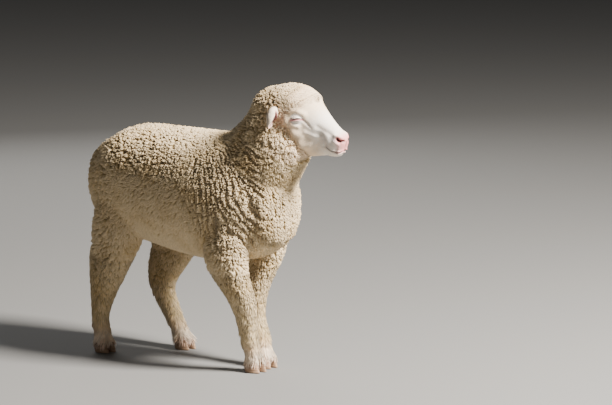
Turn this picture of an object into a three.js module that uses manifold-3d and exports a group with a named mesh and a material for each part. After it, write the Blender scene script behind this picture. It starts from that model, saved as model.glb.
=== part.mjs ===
// A still, life-size model of a young fleeced sheep, standing with its head raised and turned a
// little to its left. Millimetres: +X towards the head, +Y to the animal's left, +Z up, and the
// claws stand on z = 0. The body is modelled whole from lofted lengths, clad in rounded clumps of
// fleece, and then parted with thin cuts into the nodes that a person would name.
import * as THREE from 'three';
import { MeshSurfaceSampler } from 'three/addons/math/MeshSurfaceSampler.js';
import { mergeVertices } from 'three/addons/utils/BufferGeometryUtils.js';
import Module from 'manifold-3d';

const wasm = await Module();
wasm.setup();

// ---- driving sizes ------------------------------------------------------------------------------
const PART_GAP = 0.3; // width of the cut between two neighbouring nodes
const CORONET = 27; // height of the top of the claws above the ground
const CLEFT = 3; // gap between the two claws of a foot
const EYEBALL = 14; // radius of an eye
const EYE_ASIDE = 46; // from the middle of the head to the middle of an eye
const LID = 2.6; // thickness of an eyelid
const LID_SLIT = 12; // half the angle, in degrees, that the drooping lids leave open
const WEDGE = 30; // length of the wedge that parts the lids
const NECK_ENDS = 560; // below this height no point belongs to the head

// The fleece is a core with rounded clumps set close on it.
const FLEECE_RISE = 15; // how far the tips of the fleece stand above the core on the body
const HEAD_THINS = 4; // how much shorter the fleece is on the head
const LEAST_RISE = 5.5; // where the fleece is thinner than this it carries no clumps
const SPACING = { head: 48, neck: 64, legs: 66, barrel: 92 }; // from one clump to the next
const WIDEST_GAP = 0.84; // clumps are added until no place is further from one, in spacings
const CLUMP_ROOT = 9; // how deep a clump is sunk into the core
const CLUMP_SPREAD = 0.64; // a clump's radius for each unit of the spacing
const CLUMP_LEAN = 0.35; // how far a clump's top is drawn along the lie for each unit of height
const CLUMP_SIDES = 6;
const CLUMP_SEED = 11;
const SPOTS = 6000; // places tried for clumps
const EVENING_ROUNDS = 6;

// ---- colours ------------------------------------------------------------------------------------
const FLEECE = new THREE.MeshStandardMaterial({ color: 0xcdbd9f, roughness: 0.95, metalness: 0 });
const FACE = new THREE.MeshStandardMaterial({ color: 0xe6dacb, roughness: 0.85, metalness: 0 });
const HORN = new THREE.MeshStandardMaterial({ color: 0x9a7a63, roughness: 0.6, metalness: 0 });
const EYE = new THREE.MeshStandardMaterial({ color: 0x2a1f18, roughness: 0.1, metalness: 0 });

const radians = THREE.MathUtils.degToRad;
const { clamp, smoothstep } = THREE.MathUtils;

// ---- solids and meshes --------------------------------------------------------------------------
function solid(geometry) {
  const bare = geometry.clone();
  for (const name of Object.keys(bare.attributes)) {
    if (name !== 'position') bare.deleteAttribute(name);
  }
  const merged = mergeVertices(bare, 1e-3);
  return new wasm.Manifold(new wasm.Mesh({
    numProp: 3,
    vertProperties: merged.attributes.position.array,
    triVerts: new Uint32Array(merged.index.array),
  }));
}

function geometryOf(manifold) {
  const { vertProperties, triVerts, numProp } = manifold.getMesh();
  const count = vertProperties.length / numProp;
  const position = new Float32Array(count * 3);
  for (let i = 0; i < count; i++) {
    position.set(vertProperties.subarray(i * numProp, i * numProp + 3), i * 3);
  }
  const geometry = new THREE.BufferGeometry();
  geometry.setAttribute('position', new THREE.BufferAttribute(position, 3));
  geometry.setIndex(new THREE.BufferAttribute(new Uint32Array(triVerts), 1));
  geometry.computeVertexNormals();
  return geometry;
}

const union = (solids) => wasm.Manifold.union(solids);

// The largest closed body of a solid, with any hollow that fusing sealed inside it filled.
function largest(manifold) {
  return manifold.decompose().reduce((best, one) => (one.volume() > best.volume() ? one : best));
}

// ---- lofts --------------------------------------------------------------------------------------
// A station is one cross-section of a length of body. It faces along its heading (degrees from +X
// towards +Y) and pitch (degrees above the ground), is `wide` on each side of its centre, reaches
// `up` and `down` from it, and is squarer the higher its `power` is above 2.
const STATION = { x: 0, y: 0, z: 0, wide: 10, up: 10, down: 10, heading: 0, pitch: 0, power: 2.2 };
const KEYS = Object.keys(STATION);

function aheadOf(s) {
  const heading = radians(s.heading);
  const pitch = radians(s.pitch);
  return new THREE.Vector3(
    Math.cos(heading) * Math.cos(pitch), Math.sin(heading) * Math.cos(pitch), Math.sin(pitch));
}

function sectionPoint(s, angle, grow = 0) {
  const side = new THREE.Vector3(-Math.sin(radians(s.heading)), Math.cos(radians(s.heading)), 0);
  const rise = aheadOf(s).cross(side);
  const round = (v) => Math.sign(v) * Math.abs(v) ** (2 / s.power);
  const reach = (size) => Math.max(size + grow, 0.05 * size);
  const high = Math.sin(angle) > 0 ? s.up : s.down;
  return new THREE.Vector3(s.x, s.y, s.z)
    .addScaledVector(side, reach(s.wide) * round(Math.cos(angle)))
    .addScaledVector(rise, reach(high) * round(Math.sin(angle)));
}

// A smooth curve through the stations' numbers, read at t from 0 to 1.
function stationAt(stations, t) {
  const last = stations.length - 1;
  const place = Math.min(t * last, last - 1e-9);
  const i = Math.floor(place);
  const f = place - i;
  const made = {};
  for (const key of KEYS) {
    const [a, b, c, d] = [i - 1, i, i + 1, i + 2].map((k) => stations[clamp(k, 0, last)][key]);
    made[key] = b + 0.5 * f * (c - a + f * (2 * a - 5 * b + 4 * c - d + f * (3 * (b - c) + d - a)));
  }
  return made;
}

// The rings of a dome that closes one end, reaching `reach` past the end station.
function dome(s, reach, turns) {
  const ahead = aheadOf(s);
  return turns.map((turn) => {
    const at = new THREE.Vector3(s.x, s.y, s.z).addScaledVector(ahead, reach * Math.sin(turn));
    const shrink = Math.cos(turn);
    return {
      ...s, x: at.x, y: at.y, z: at.z,
      wide: s.wide * shrink, up: s.up * shrink, down: s.down * shrink,
    };
  });
}

// A closed tube through the stations. `tail` and `nose` are how far a dome reaches past its first
// and last station, and `inset(point)` is how far the skin lies inside the outline at a point.
function loft(table, { sides, steps, tail = 0, nose = 0, defaults = {}, grow = 0, inset }) {
  const stations = table.map((s) => ({ ...STATION, ...defaults, ...s }));
  const rings = Array.from({ length: steps + 1 }, (_, i) => stationAt(stations, i / steps));
  const turns = [0.45, 0.9, 1.25];
  const all = [
    ...(tail ? dome(rings[0], -tail, turns).reverse() : []),
    ...rings,
    ...(nose ? dome(rings[steps], nose, turns) : []),
  ];
  const position = [];
  for (const s of all) {
    for (let k = 0; k < sides; k++) {
      const angle = (k / sides) * 2 * Math.PI;
      const outer = sectionPoint(s, angle, grow);
      const point = inset ? sectionPoint(s, angle, grow - inset(outer)) : outer;
      position.push(...point);
    }
  }
  const depth = inset ? (p) => inset(p) : () => 0;
  const tip = (s, reach) => {
    const [end] = dome(s, reach, [Math.PI / 2]);
    const pull = Math.sign(reach) * (grow - depth(new THREE.Vector3(end.x, end.y, end.z)));
    return new THREE.Vector3(end.x, end.y, end.z).addScaledVector(aheadOf(s), pull);
  };
  position.push(...tip(rings[0], -tail), ...tip(rings[steps], nose));
  const index = [];
  const top = (all.length - 1) * sides;
  for (let k = 0; k < sides; k++) {
    const n = (k + 1) % sides;
    for (let r = 0; r + 1 < all.length; r++) {
      const [a, b, c, d] = [r * sides + k, r * sides + n, (r + 1) * sides + k, (r + 1) * sides + n];
      index.push(a, b, c, b, d, c);
    }
    index.push(all.length * sides, n, k);
    index.push(all.length * sides + 1, top + k, top + n);
  }
  const geometry = new THREE.BufferGeometry();
  geometry.setAttribute('position', new THREE.Float32BufferAttribute(position, 3));
  geometry.setIndex(index);
  return geometry;
}

// An egg-shaped swelling or hollow.
function egg(at, radii, { around, along }) {
  return new THREE.SphereGeometry(1, around, along).scale(...radii).translate(...at);
}

// ---- trunk, neck and tail -----------------------------------------------------------------------
const TRUNK = [
  { x: -325, z: 470, wide: 126, up: 110, down: 140 },
  { x: -250, z: 475, wide: 152, up: 138, down: 165 },
  { x: -150, z: 462, wide: 160, up: 154, down: 166 },
  { x: -50, z: 455, wide: 164, up: 162, down: 172 },
  { x: 50, z: 450, wide: 162, up: 168, down: 172 },
  { x: 130, z: 450, wide: 146, up: 178, down: 164 },
  { x: 195, z: 445, wide: 120, up: 165, down: 144 },
  { x: 240, z: 432, wide: 86, up: 136, down: 108 },
];

const NECK = [
  { x: 120, y: 0, z: 480, wide: 122, up: 130, down: 140, heading: 0, pitch: 25 },
  { x: 185, y: 0, z: 540, wide: 104, up: 122, down: 112, heading: 2, pitch: 48 },
  { x: 232, y: 4, z: 605, wide: 90, up: 104, down: 106, heading: 5, pitch: 56 },
  { x: 256, y: 10, z: 655, wide: 83, up: 92, down: 102, heading: 8, pitch: 52 },
];

// The tail is docked to a short stump, and its fleece hangs in rounded lobes one below the other.
const TAIL = [
  { x: -325, z: 562, wide: 32, up: 21, down: 21, heading: 180, pitch: -12 },
  { x: -350, z: 554, wide: 34, up: 23, down: 23, heading: 180, pitch: -32 },
  { x: -367, z: 536, wide: 27, up: 17, down: 17, heading: 180, pitch: -56 },
  { x: -376, z: 514, wide: 33, up: 22, down: 22, heading: 180, pitch: -74 },
  { x: -380, z: 492, wide: 24, up: 15, down: 15, heading: 180, pitch: -82 },
  { x: -383, z: 470, wide: 28, up: 18, down: 18, heading: 180, pitch: -86 },
  { x: -384, z: 452, wide: 18, up: 12, down: 12, heading: 180, pitch: -90 },
];

// ---- limbs --------------------------------------------------------------------------------------
// A limb runs downwards, so `up` is its reach ahead of its centre line and `down` the reach behind.
const DOWNWARDS = { pitch: -90 };
const LIMBS = {
  front_right: {
    foot: { x: 192, y: -30 },
    line: [
      { x: 150, y: -60, z: 450, wide: 58, up: 74, down: 85 },
      { x: 147, y: -75, z: 370, wide: 58, up: 72, down: 78 },
      { x: 147, y: -87, z: 310, wide: 52, up: 65, down: 67 },
      { x: 154, y: -84, z: 262, wide: 44, up: 56, down: 56 },
      { x: 174, y: -73, z: 214, wide: 37, up: 45, down: 45 },
      { x: 183, y: -63, z: 177, wide: 32, up: 37, down: 37 },
      { x: 186, y: -52, z: 129, wide: 27, up: 28, down: 29 },
      { x: 186, y: -42, z: 88, wide: 26, up: 27, down: 31 },
      { x: 190, y: -35, z: 52, wide: 24, up: 24, down: 25 },
    ],
  },
  front_left: {
    foot: { x: 174, y: 31 },
    line: [
      { x: 135, y: 60, z: 450, wide: 58, up: 74, down: 85 },
      { x: 126, y: 75, z: 370, wide: 58, up: 72, down: 78 },
      { x: 118, y: 84, z: 310, wide: 52, up: 65, down: 67 },
      { x: 113, y: 76, z: 262, wide: 44, up: 55, down: 56 },
      { x: 108, y: 64, z: 214, wide: 37, up: 44, down: 45 },
      { x: 109, y: 57, z: 177, wide: 32, up: 36, down: 37 },
      { x: 121, y: 48, z: 129, wide: 27, up: 28, down: 29 },
      { x: 143, y: 42, z: 88, wide: 26, up: 27, down: 30 },
      { x: 161, y: 35, z: 52, wide: 24, up: 24, down: 25 },
    ],
  },
  hind_right: {
    foot: { x: -290, y: -112 },
    line: [
      { x: -225, y: -62, z: 500, wide: 66, up: 95, down: 90 },
      { x: -232, y: -80, z: 420, wide: 64, up: 102, down: 94 },
      { x: -245, y: -96, z: 350, wide: 55, up: 95, down: 88 },
      { x: -255, y: -104, z: 294, wide: 46, up: 82, down: 78 },
      { x: -270, y: -105, z: 256, wide: 43, up: 73, down: 70 },
      { x: -281, y: -105, z: 217, wide: 40, up: 60, down: 60 },
      { x: -294, y: -105, z: 175, wide: 34, up: 45, down: 46 },
      { x: -301, y: -107, z: 142, wide: 29, up: 36, down: 37 },
      { x: -308, y: -109, z: 97, wide: 24, up: 28, down: 27 },
      { x: -300, y: -111, z: 56, wide: 24, up: 27, down: 28 },
    ],
  },
  hind_left: {
    foot: { x: -162, y: 64 },
    line: [
      { x: -215, y: 62, z: 500, wide: 66, up: 95, down: 95 },
      { x: -212, y: 80, z: 420, wide: 64, up: 102, down: 98 },
      { x: -212, y: 91, z: 350, wide: 55, up: 97, down: 94 },
      { x: -216, y: 90, z: 294, wide: 46, up: 88, down: 82 },
      { x: -230, y: 87, z: 256, wide: 43, up: 75, down: 72 },
      { x: -248, y: 85, z: 217, wide: 40, up: 61, down: 62 },
      { x: -263, y: 82, z: 175, wide: 34, up: 45, down: 46 },
      { x: -254, y: 78, z: 142, wide: 29, up: 37, down: 38 },
      { x: -222, y: 73, z: 97, wide: 25, up: 31, down: 30 },
      { x: -190, y: 68, z: 58, wide: 24, up: 29, down: 29 },
    ],
  },
};

// ---- head ---------------------------------------------------------------------------------------
// The head is built along its own axes, with the point midway between the eyes as its origin and
// x along the line from the eyes to the nostrils, and is then set on the neck.
const HEAD_AT = [327, 26, 680];
const HEAD_TURN = new THREE.Euler(radians(6), radians(24.5), radians(11), 'ZYX'); // roll, dip, yaw
const HEAD_PLACE = new THREE.Matrix4().makeRotationFromEuler(HEAD_TURN).setPosition(...HEAD_AT);
const HEAD_PLACE_BACK = HEAD_PLACE.clone().invert();

const HEAD = [
  { x: -112, z: -32, wide: 74, up: 58, down: 74 },
  { x: -75, z: -28, wide: 80, up: 82, down: 80 },
  { x: -35, z: -24, wide: 75, up: 83, down: 82 },
  { x: 0, z: -15, wide: 60, up: 71, down: 90 },
  { x: 24, z: -12, wide: 47, up: 58, down: 89, power: 2.1 },
  { x: 50, z: -12, wide: 38, up: 46, down: 84, power: 2 },
  { x: 78, z: -16, wide: 31, up: 38, down: 63, power: 2 },
  { x: 100, z: -20, wide: 28, up: 34, down: 45 },
  { x: 115, z: -21, wide: 27, up: 31, down: 37 },
  { x: 126, z: -22, wide: 23, up: 24, down: 31 },
];

const BOTH_SIDES = [-1, 1]; // the animal's right and left

// Where the fleece ends on the side of the head: x of its edge against height.
const FLEECE_EDGE = [[-90, 60], [-62, 48], [-38, 24], [-18, -12], [0, -24], [20, -12], [56, 8]];

function fleeceEdge(z) {
  const after = FLEECE_EDGE.findIndex(([height]) => height > z);
  if (after === 0) return FLEECE_EDGE[0][1];
  if (after < 0) return FLEECE_EDGE[FLEECE_EDGE.length - 1][1];
  const [[z0, x0], [z1, x1]] = [FLEECE_EDGE[after - 1], FLEECE_EDGE[after]];
  return x0 + ((x1 - x0) * (z - z0)) / (z1 - z0);
}

// An ear is a thick leaf that leaves the side of the head outwards and droops, hollowed in front.
const EAR = [
  { x: -54, y: 50, z: -6, wide: 12, up: 15, down: 15, heading: 76, pitch: -4 },
  { x: -49, y: 72, z: -8, wide: 14, up: 18, down: 19, heading: 75, pitch: -10 },
  { x: -43, y: 92, z: -13, wide: 14, up: 21, down: 22, heading: 73, pitch: -18 },
  { x: -38, y: 107, z: -19, wide: 12, up: 19, down: 20, heading: 70, pitch: -28 },
  { x: -34, y: 117, z: -26, wide: 7, up: 10, down: 11, heading: 67, pitch: -36 },
];
const EAR_HOLLOW = [
  { x: -37, y: 72, z: -8, wide: 12, up: 9, down: 10, heading: 75, pitch: -10 },
  { x: -29, y: 90, z: -13, wide: 17, up: 15, down: 16, heading: 73, pitch: -18 },
  { x: -25, y: 103, z: -18, wide: 15, up: 13, down: 14, heading: 70, pitch: -28 },
  { x: -24, y: 112, z: -24, wide: 10, up: 6, down: 7, heading: 67, pitch: -36 },
];

const EAR_FORM = { sides: 10, steps: 6, nose: 6 };

// A table drawn for the left side, turned over for the right where `side` is -1.
function mirrored(table, side) {
  return table.map((s) => ({ ...s, y: s.y * side, heading: s.heading * side }));
}

function ear(side) {
  const leaf = loft(mirrored(EAR, side), EAR_FORM);
  const hollow = loft(mirrored(EAR_HOLLOW, side), { sides: 8, steps: 4, nose: 4, tail: 4 });
  return solid(leaf.applyMatrix4(HEAD_PLACE)).subtract(solid(hollow.applyMatrix4(HEAD_PLACE)));
}

function earSeat(side) {
  return solid(loft(mirrored(EAR, side), { ...EAR_FORM, grow: PART_GAP }).applyMatrix4(HEAD_PLACE));
}

function eyeball(side, grow = 0) {
  return egg([0, EYE_ASIDE * side, 0], Array(3).fill(EYEBALL + grow), { around: 10, along: 7 });
}

// ---- fleece -------------------------------------------------------------------------------------
// How far the tips of the fleece stand above its core at a point of the body: nothing on the
// face, the feet and the lower legs, and less on the head than on the body.
function fleeceDepth(point) {
  const onHead = point.clone().applyMatrix4(HEAD_PLACE_BACK);
  const bareFace = onHead.x > -130 && onHead.z > -110
    ? smoothstep(onHead.x - fleeceEdge(onHead.z), -16, 2) : 0;
  const headThins = smoothstep(onHead.x, -150, -60) * smoothstep(point.z, NECK_ENDS, 640);
  const woollyLeg = smoothstep(point.z, 165, 265);
  return (FLEECE_RISE - HEAD_THINS * headThins) * (1 - bareFace) * woollyLeg;
}

// Numbers from 0 to 1 that look random and come out alike each time.
function seededRandom(seed) {
  let state = seed;
  return () => {
    state = (state + 0x6d2b79f5) | 0;
    let t = Math.imul(state ^ (state >>> 15), 1 | state);
    t = (t + Math.imul(t ^ (t >>> 7), 61 | t)) ^ t;
    return ((t ^ (t >>> 14)) >>> 0) / 4294967296;
  };
}

// The distance between neighbouring clumps: finest on the head, coarsest on the barrel.
function clumpSpacing(point) {
  const onHead = point.clone().applyMatrix4(HEAD_PLACE_BACK);
  if (onHead.x > HEAD[0].x && point.z > NECK_ENDS) return SPACING.head;
  if (point.z > 640 || point.x > 190) return SPACING.neck;
  return point.z < 330 ? SPACING.legs : SPACING.barrel;
}

// Spots strewn over the part of a surface that carries fleece.
function fleeceSpots(core, random) {
  const surface = new THREE.Mesh(geometryOf(core), FLEECE);
  const sampler = new MeshSurfaceSampler(surface).setRandomGenerator(random).build();
  const spots = [];
  for (let i = 0; i < SPOTS; i++) {
    const at = new THREE.Vector3();
    const normal = new THREE.Vector3();
    sampler.sample(at, normal);
    const rise = fleeceDepth(at);
    if (rise > LEAST_RISE) {
      spots.push({ at, normal: normal.normalize(), rise, spacing: clumpSpacing(at), gap: Infinity });
    }
  }
  return spots;
}

const least = (list, measure) => list.reduce((best, one) => (measure(one) < measure(best) ? one : best));

// Places for clumps on the core of the fleece. The first ones are each as far as can be from all
// before them, and all are then evened out: each moves to the middle of what lies nearest to it.
function clumpSites(core, random) {
  const spots = fleeceSpots(core, random);
  let sites = [];
  for (let next = spots[0]; next.gap > WIDEST_GAP; next = least(spots, (spot) => -spot.gap)) {
    sites.push(next);
    for (const spot of spots) {
      spot.gap = Math.min(spot.gap, spot.at.distanceTo(next.at) / spot.spacing);
    }
  }
  for (let round = 0; round < EVENING_ROUNDS; round++) {
    const members = new Map(sites.map((site) => [site, []]));
    for (const spot of spots) {
      members.get(least(sites, (site) => spot.at.distanceTo(site.at) / site.spacing)).push(spot);
    }
    sites = [...members.values()].map((own) => {
      const middle = new THREE.Vector3();
      for (const spot of own) middle.addScaledVector(spot.at, 1 / own.length);
      return least(own, (spot) => spot.at.distanceTo(middle));
    });
  }
  return sites;
}

// A clump is a low dome of a few sides, its foot sunk into the core and its top drawn along the
// lie of the fleece, down and back.
function clump({ at, normal, spacing, rise }, random) {
  const radius = CLUMP_SPREAD * spacing * (0.94 + 0.12 * random());
  const height = rise * (0.82 + 0.18 * random());
  const profile = [
    [0, -CLUMP_ROOT],
    [radius, -0.6 * CLUMP_ROOT],
    [0.56 * radius, 0.78 * height],
    [0, height],
  ].map(([r, h]) => new THREE.Vector2(r, h));
  const lie = new THREE.Vector3(-0.5, 0, -0.85).projectOnPlane(normal);
  const across = new THREE.Vector3(normal.y, normal.z, normal.x).cross(normal).normalize();
  const along = new THREE.Vector3().crossVectors(across, normal);
  const leaning = normal.clone().addScaledVector(lie, CLUMP_LEAN);
  return new THREE.LatheGeometry(profile, CLUMP_SIDES, 2 * Math.PI * random())
    .applyMatrix4(new THREE.Matrix4().makeBasis(across, leaning, along).setPosition(at));
}

// ---- the whole body -----------------------------------------------------------------------------
function wholeBody() {
  const lengths = [
    solid(loft(TRUNK, { sides: 18, steps: 11, tail: 48, nose: 38, inset: fleeceDepth })),
    solid(loft(NECK, { sides: 18, steps: 7, inset: fleeceDepth })),
  ];
  for (const { line, foot } of Object.values(LIMBS)) {
    lengths.push(solid(loft(line, { sides: 12, steps: 10, defaults: DOWNWARDS, inset: fleeceDepth })));
    lengths.push(...pasterns(line, foot).map(solid));
  }
  const core = union([...lengths, head()]);
  const random = seededRandom(CLUMP_SEED);
  const clumps = clumpSites(core, random).map((site) => solid(clump(site, random)));
  return union([core, ...clumps]);
}

// The two short toes above the claws, and the two dewclaws behind them.
function pasterns(line, foot) {
  const [above, end] = line.slice(-2);
  return BOTH_SIDES.flatMap((side) => {
    const toe = [
      { x: above.x, y: above.y + 6 * side, z: above.z, wide: 15, up: 20, down: 20 },
      { x: end.x, y: end.y + 9 * side, z: end.z, wide: 15, up: 23, down: 22 },
      { x: foot.x - 3, y: foot.y + 13.5 * side, z: CORONET, wide: 13, up: 25, down: 22 },
      { x: foot.x + 4, y: foot.y + 13.5 * side, z: CORONET - 16, wide: 9, up: 12, down: 12 },
    ];
    return [
      loft(toe, { sides: 8, steps: 3, defaults: DOWNWARDS }),
      egg([end.x - 25, end.y + 10 * side, end.z + 14], [8, 7, 10], { around: 8, along: 6 }),
    ];
  });
}

function head() {
  const skull = (grow, inset) => loft(
    HEAD, { sides: 16, steps: 13, tail: 30, nose: 8, grow, inset });
  const insetOnHead = (point) => fleeceDepth(point.clone().applyMatrix4(HEAD_PLACE));
  const swellings = [];
  const hollows = [];
  for (const side of BOTH_SIDES) {
    swellings.push(
      // the rim of the orbit
      egg([-2, (EYE_ASIDE - 4) * side, 4], [25, 15, 20], { around: 10, along: 6 }),
      eyeball(side, LID), // both lids
      // the wing of the nostril
      egg([115, 16 * side, -7], [16, 12, 13], { around: 8, along: 6 }),
    );
    const slit = new THREE.Shape([
      new THREE.Vector2(0, 0),
      new THREE.Vector2(WEDGE, -WEDGE * Math.tan(radians(LID_SLIT))),
      new THREE.Vector2(WEDGE, WEDGE * Math.tan(radians(LID_SLIT))),
    ]);
    const wedge = new THREE.ExtrudeGeometry(slit, { depth: 2 * EYEBALL, bevelEnabled: false })
      .translate(0, 0, -EYEBALL)
      .applyMatrix4(new THREE.Matrix4().makeBasis(
        new THREE.Vector3(0, side, 0), new THREE.Vector3(0, 0, side), new THREE.Vector3(1, 0, 0)))
      .rotateY(radians(-20))
      .translate(0, EYE_ASIDE * side, 0);
    hollows.push(
      wedge,
      eyeball(side, PART_GAP),
      loft(mirrored([
        { x: 110, y: 26, z: -4, wide: 4, up: 3, down: 3, heading: -10 },
        { x: 119, y: 23, z: -2, wide: 6, up: 5, down: 5, heading: -35 },
        { x: 130, y: 14, z: -6, wide: 4, up: 4, down: 4, heading: -50 },
        { x: 135, y: 8, z: -12, wide: 2, up: 2, down: 2, heading: -60 },
      ], side), { sides: 6, steps: 3 }), // the nostril
    );
  }
  // The line of the mouth is a thin slot that runs round the front of the muzzle.
  const slot = (half) => loft([
    { x: 92, z: -37, wide: 50, up: half, down: half, pitch: -14 },
    { x: 115, z: -41, wide: 50, up: half, down: half, pitch: 2 },
    { x: 142, z: -32, wide: 50, up: half, down: half, pitch: 20 },
  ], { sides: 6, steps: 3, defaults: { power: 4 } });
  const lips = solid(skull(1.6)).intersect(solid(slot(9)));
  const mouth = solid(slot(1.1)).subtract(solid(skull(-2.5)));
  const shaped = union([solid(skull(0, insetOnHead)), lips, ...swellings.map(solid)])
    .subtract(union([mouth, ...hollows.map(solid)]));
  return solid(geometryOf(shaped).applyMatrix4(HEAD_PLACE));
}

// ---- claws --------------------------------------------------------------------------------------
function claw(foot, side) {
  const middle = foot.y + (12.5 + CLEFT / 2) * side;
  return loft([
    { x: foot.x - 3, z: CORONET - PART_GAP, wide: 11.5, up: 22, down: 20 },
    { x: foot.x, z: 14, wide: 12.3, up: 25, down: 20 },
    { x: foot.x + 2, z: 0, wide: 12.5, up: 28, down: 20 },
  ], { sides: 12, steps: 2, defaults: { ...DOWNWARDS, y: middle, power: 2.4 } });
}

// ---- parting into nodes -------------------------------------------------------------------------
// The space ahead of a cut: everything past the point `at` along the cut's heading and pitch.
const EVERYWHERE = 2000;

function past({ at, heading, pitch }, gap = 0) {
  const box = new THREE.BoxGeometry(EVERYWHERE, EVERYWHERE, EVERYWHERE)
    .translate(EVERYWHERE / 2 - gap, 0, 0)
    .rotateY(radians(-pitch))
    .rotateZ(radians(heading))
    .translate(...at);
  return solid(box);
}

// Takes what lies past the first cut, and past the others if any, off the whole.
function takeOff(whole, [cut, ...bounds]) {
  const within = (space) => bounds.reduce((kept, bound) => kept.intersect(past(bound)), space);
  return {
    piece: largest(whole.intersect(within(past(cut)))),
    rest: whole.subtract(within(past(cut, PART_GAP))),
  };
}

const CUTS = {
  head: [{ at: [262, 12, 648], heading: 9, pitch: 36 }],
  neck: [{ at: [185, 0, 530], heading: 0, pitch: 50 }],
};

const meshes = [];
function node(name, manifold, material) {
  const mesh = new THREE.Mesh(geometryOf(manifold), material);
  mesh.name = name;
  meshes.push(mesh);
}

const SIDE_NAMES = { right: -1, left: 1 };
const tail = (grow) => solid(loft(TAIL, { sides: 9, steps: 12, nose: 10, grow }));

let rest = wholeBody().subtract(union([tail(PART_GAP), ...BOTH_SIDES.map(earSeat)]));
node('tail', tail(0), FLEECE);
for (const [name, side] of Object.entries(SIDE_NAMES)) {
  node(`ear_${name}`, ear(side), FACE);
  node(`eye_${name}`, solid(eyeball(side).applyMatrix4(HEAD_PLACE)), EYE);
}
for (const [name, cuts] of Object.entries(CUTS)) {
  const parted = takeOff(rest, cuts);
  rest = parted.rest;
  node(name, parted.piece, FLEECE);
}
for (const [name, { foot, line }] of Object.entries(LIMBS)) {
  const side = Math.sign(foot.y);
  const ahead = foot.x > 0 ? 0 : 180;
  const parted = takeOff(rest, [
    { at: [0, 122 * side, 322], heading: 90 * side, pitch: -45 },
    { at: [0, 4 * side, 0], heading: 90 * side, pitch: 0 },
    { at: [0, 0, 0], heading: ahead, pitch: 0 },
  ]);
  rest = parted.rest;
  const trimmed = largest(parted.piece.intersect(past({ at: [0, 0, CORONET], heading: 0, pitch: 90 })));
  node(`leg_${name}`, trimmed, FLEECE);
  for (const lateral of BOTH_SIDES) {
    const which = lateral === side ? 'outer' : 'inner';
    node(`claw_${name}_${which}`, solid(claw(foot, lateral)), HORN);
  }
}
node('torso', largest(rest), FLEECE);

// The origin is the middle of the ground under the animal's box.
const sheep = new THREE.Group();
sheep.add(...meshes);
const middle = new THREE.Box3().setFromObject(sheep).getCenter(new THREE.Vector3());
sheep.position.set(-middle.x, -middle.y, 0);

export default sheep;
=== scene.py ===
# %% [markdown]
# # A young fleeced sheep
#
# This scene dresses a solid model of a young sheep: a skin with a carved face, eyes, split claws,
# and a fleece of many thousand small locks. Everything is worked out with numpy from a few
# tables of cross-sections, so that each shape can be read and changed as numbers.
#
# The solid model fixes the frame. It is loaded first.

# %% Load the solid model
import math

import bpy
import numpy as np
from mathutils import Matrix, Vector
from mathutils.kdtree import KDTree


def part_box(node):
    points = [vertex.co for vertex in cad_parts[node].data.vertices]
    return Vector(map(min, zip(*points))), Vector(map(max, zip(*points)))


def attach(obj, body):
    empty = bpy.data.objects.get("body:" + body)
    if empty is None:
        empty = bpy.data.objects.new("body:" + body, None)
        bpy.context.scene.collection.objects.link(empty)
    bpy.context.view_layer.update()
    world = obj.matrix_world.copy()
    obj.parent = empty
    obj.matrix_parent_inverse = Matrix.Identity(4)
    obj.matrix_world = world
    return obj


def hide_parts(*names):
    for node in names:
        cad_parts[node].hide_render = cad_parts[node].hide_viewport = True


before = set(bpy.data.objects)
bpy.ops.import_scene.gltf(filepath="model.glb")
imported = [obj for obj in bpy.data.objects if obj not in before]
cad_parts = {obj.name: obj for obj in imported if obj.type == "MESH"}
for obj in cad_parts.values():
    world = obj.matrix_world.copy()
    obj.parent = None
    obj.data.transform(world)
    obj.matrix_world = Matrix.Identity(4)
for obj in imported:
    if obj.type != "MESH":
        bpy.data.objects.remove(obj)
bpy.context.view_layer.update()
print("solid nodes:", len(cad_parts))

# %% [markdown]
# The tables below are in millimetres, in the animal's own frame: x towards the head, y to the
# animal's left, z up. The solid model was centred on its box afterwards, so one foot, whose place
# is known in both, gives the shift between the two.

# %% Places in the frame
FOOT = {
    "front_right": (192, -30), "front_left": (174, 31),
    "hind_right": (-290, -112), "hind_left": (-162, 64),
}
HALF_FOOT = 14.0  # from the middle of a foot to the middle of one of its claws

low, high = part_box("claw_front_right_outer")
SHIFT = np.array([
    (low.x + high.x) / 2 - (FOOT["front_right"][0] + 3.5) / 1000,
    (low.y + high.y) / 2 - (FOOT["front_right"][1] - HALF_FOOT) / 1000,
    0.0,
])


def to_frame(points):
    """Millimetres in the animal's frame to metres in the scene."""
    return np.asarray(points) / 1000 + SHIFT


print("shift", SHIFT.round(4))

# %% [markdown]
# The camera stands to the front right of the animal and a little above its back, far off, with a
# long lens, so that near and far legs are drawn almost to one scale.

# %% Camera
CAMERA_AZIMUTH, CAMERA_RISE, CAMERA_AWAY = math.radians(43), math.radians(8.5), 8.0
AIM = Vector((*(to_frame([264.1, 88.41, 0])[:2]), 0.44))

toward = Vector((
    math.sin(CAMERA_AZIMUTH) * math.cos(CAMERA_RISE),
    -math.cos(CAMERA_AZIMUTH) * math.cos(CAMERA_RISE),
    math.sin(CAMERA_RISE),
))
camera = bpy.data.objects.new("camera", bpy.data.cameras.new("camera"))
camera.data.lens = 181.2
camera.location = AIM + toward * CAMERA_AWAY
camera.rotation_euler = (-toward).to_track_quat("-Z", "Y").to_euler()
bpy.context.scene.collection.objects.link(camera)
bpy.context.scene.camera = camera
print("camera at", tuple(round(c, 2) for c in camera.location))

# %% [markdown]
# ## Lofted lengths
#
# A body is easiest to describe as tubes through cross-sections. Each row of a table is one
# section: its centre, its half width, its reach above and below, the way it faces, and how square
# it is. A curve through the rows gives as many rings as are wanted, so one table serves for a
# rough form and for a fine one.

# %% Rings through a table of sections
COLUMNS = ("x", "y", "z", "wide", "up", "down", "heading", "pitch", "power")


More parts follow.
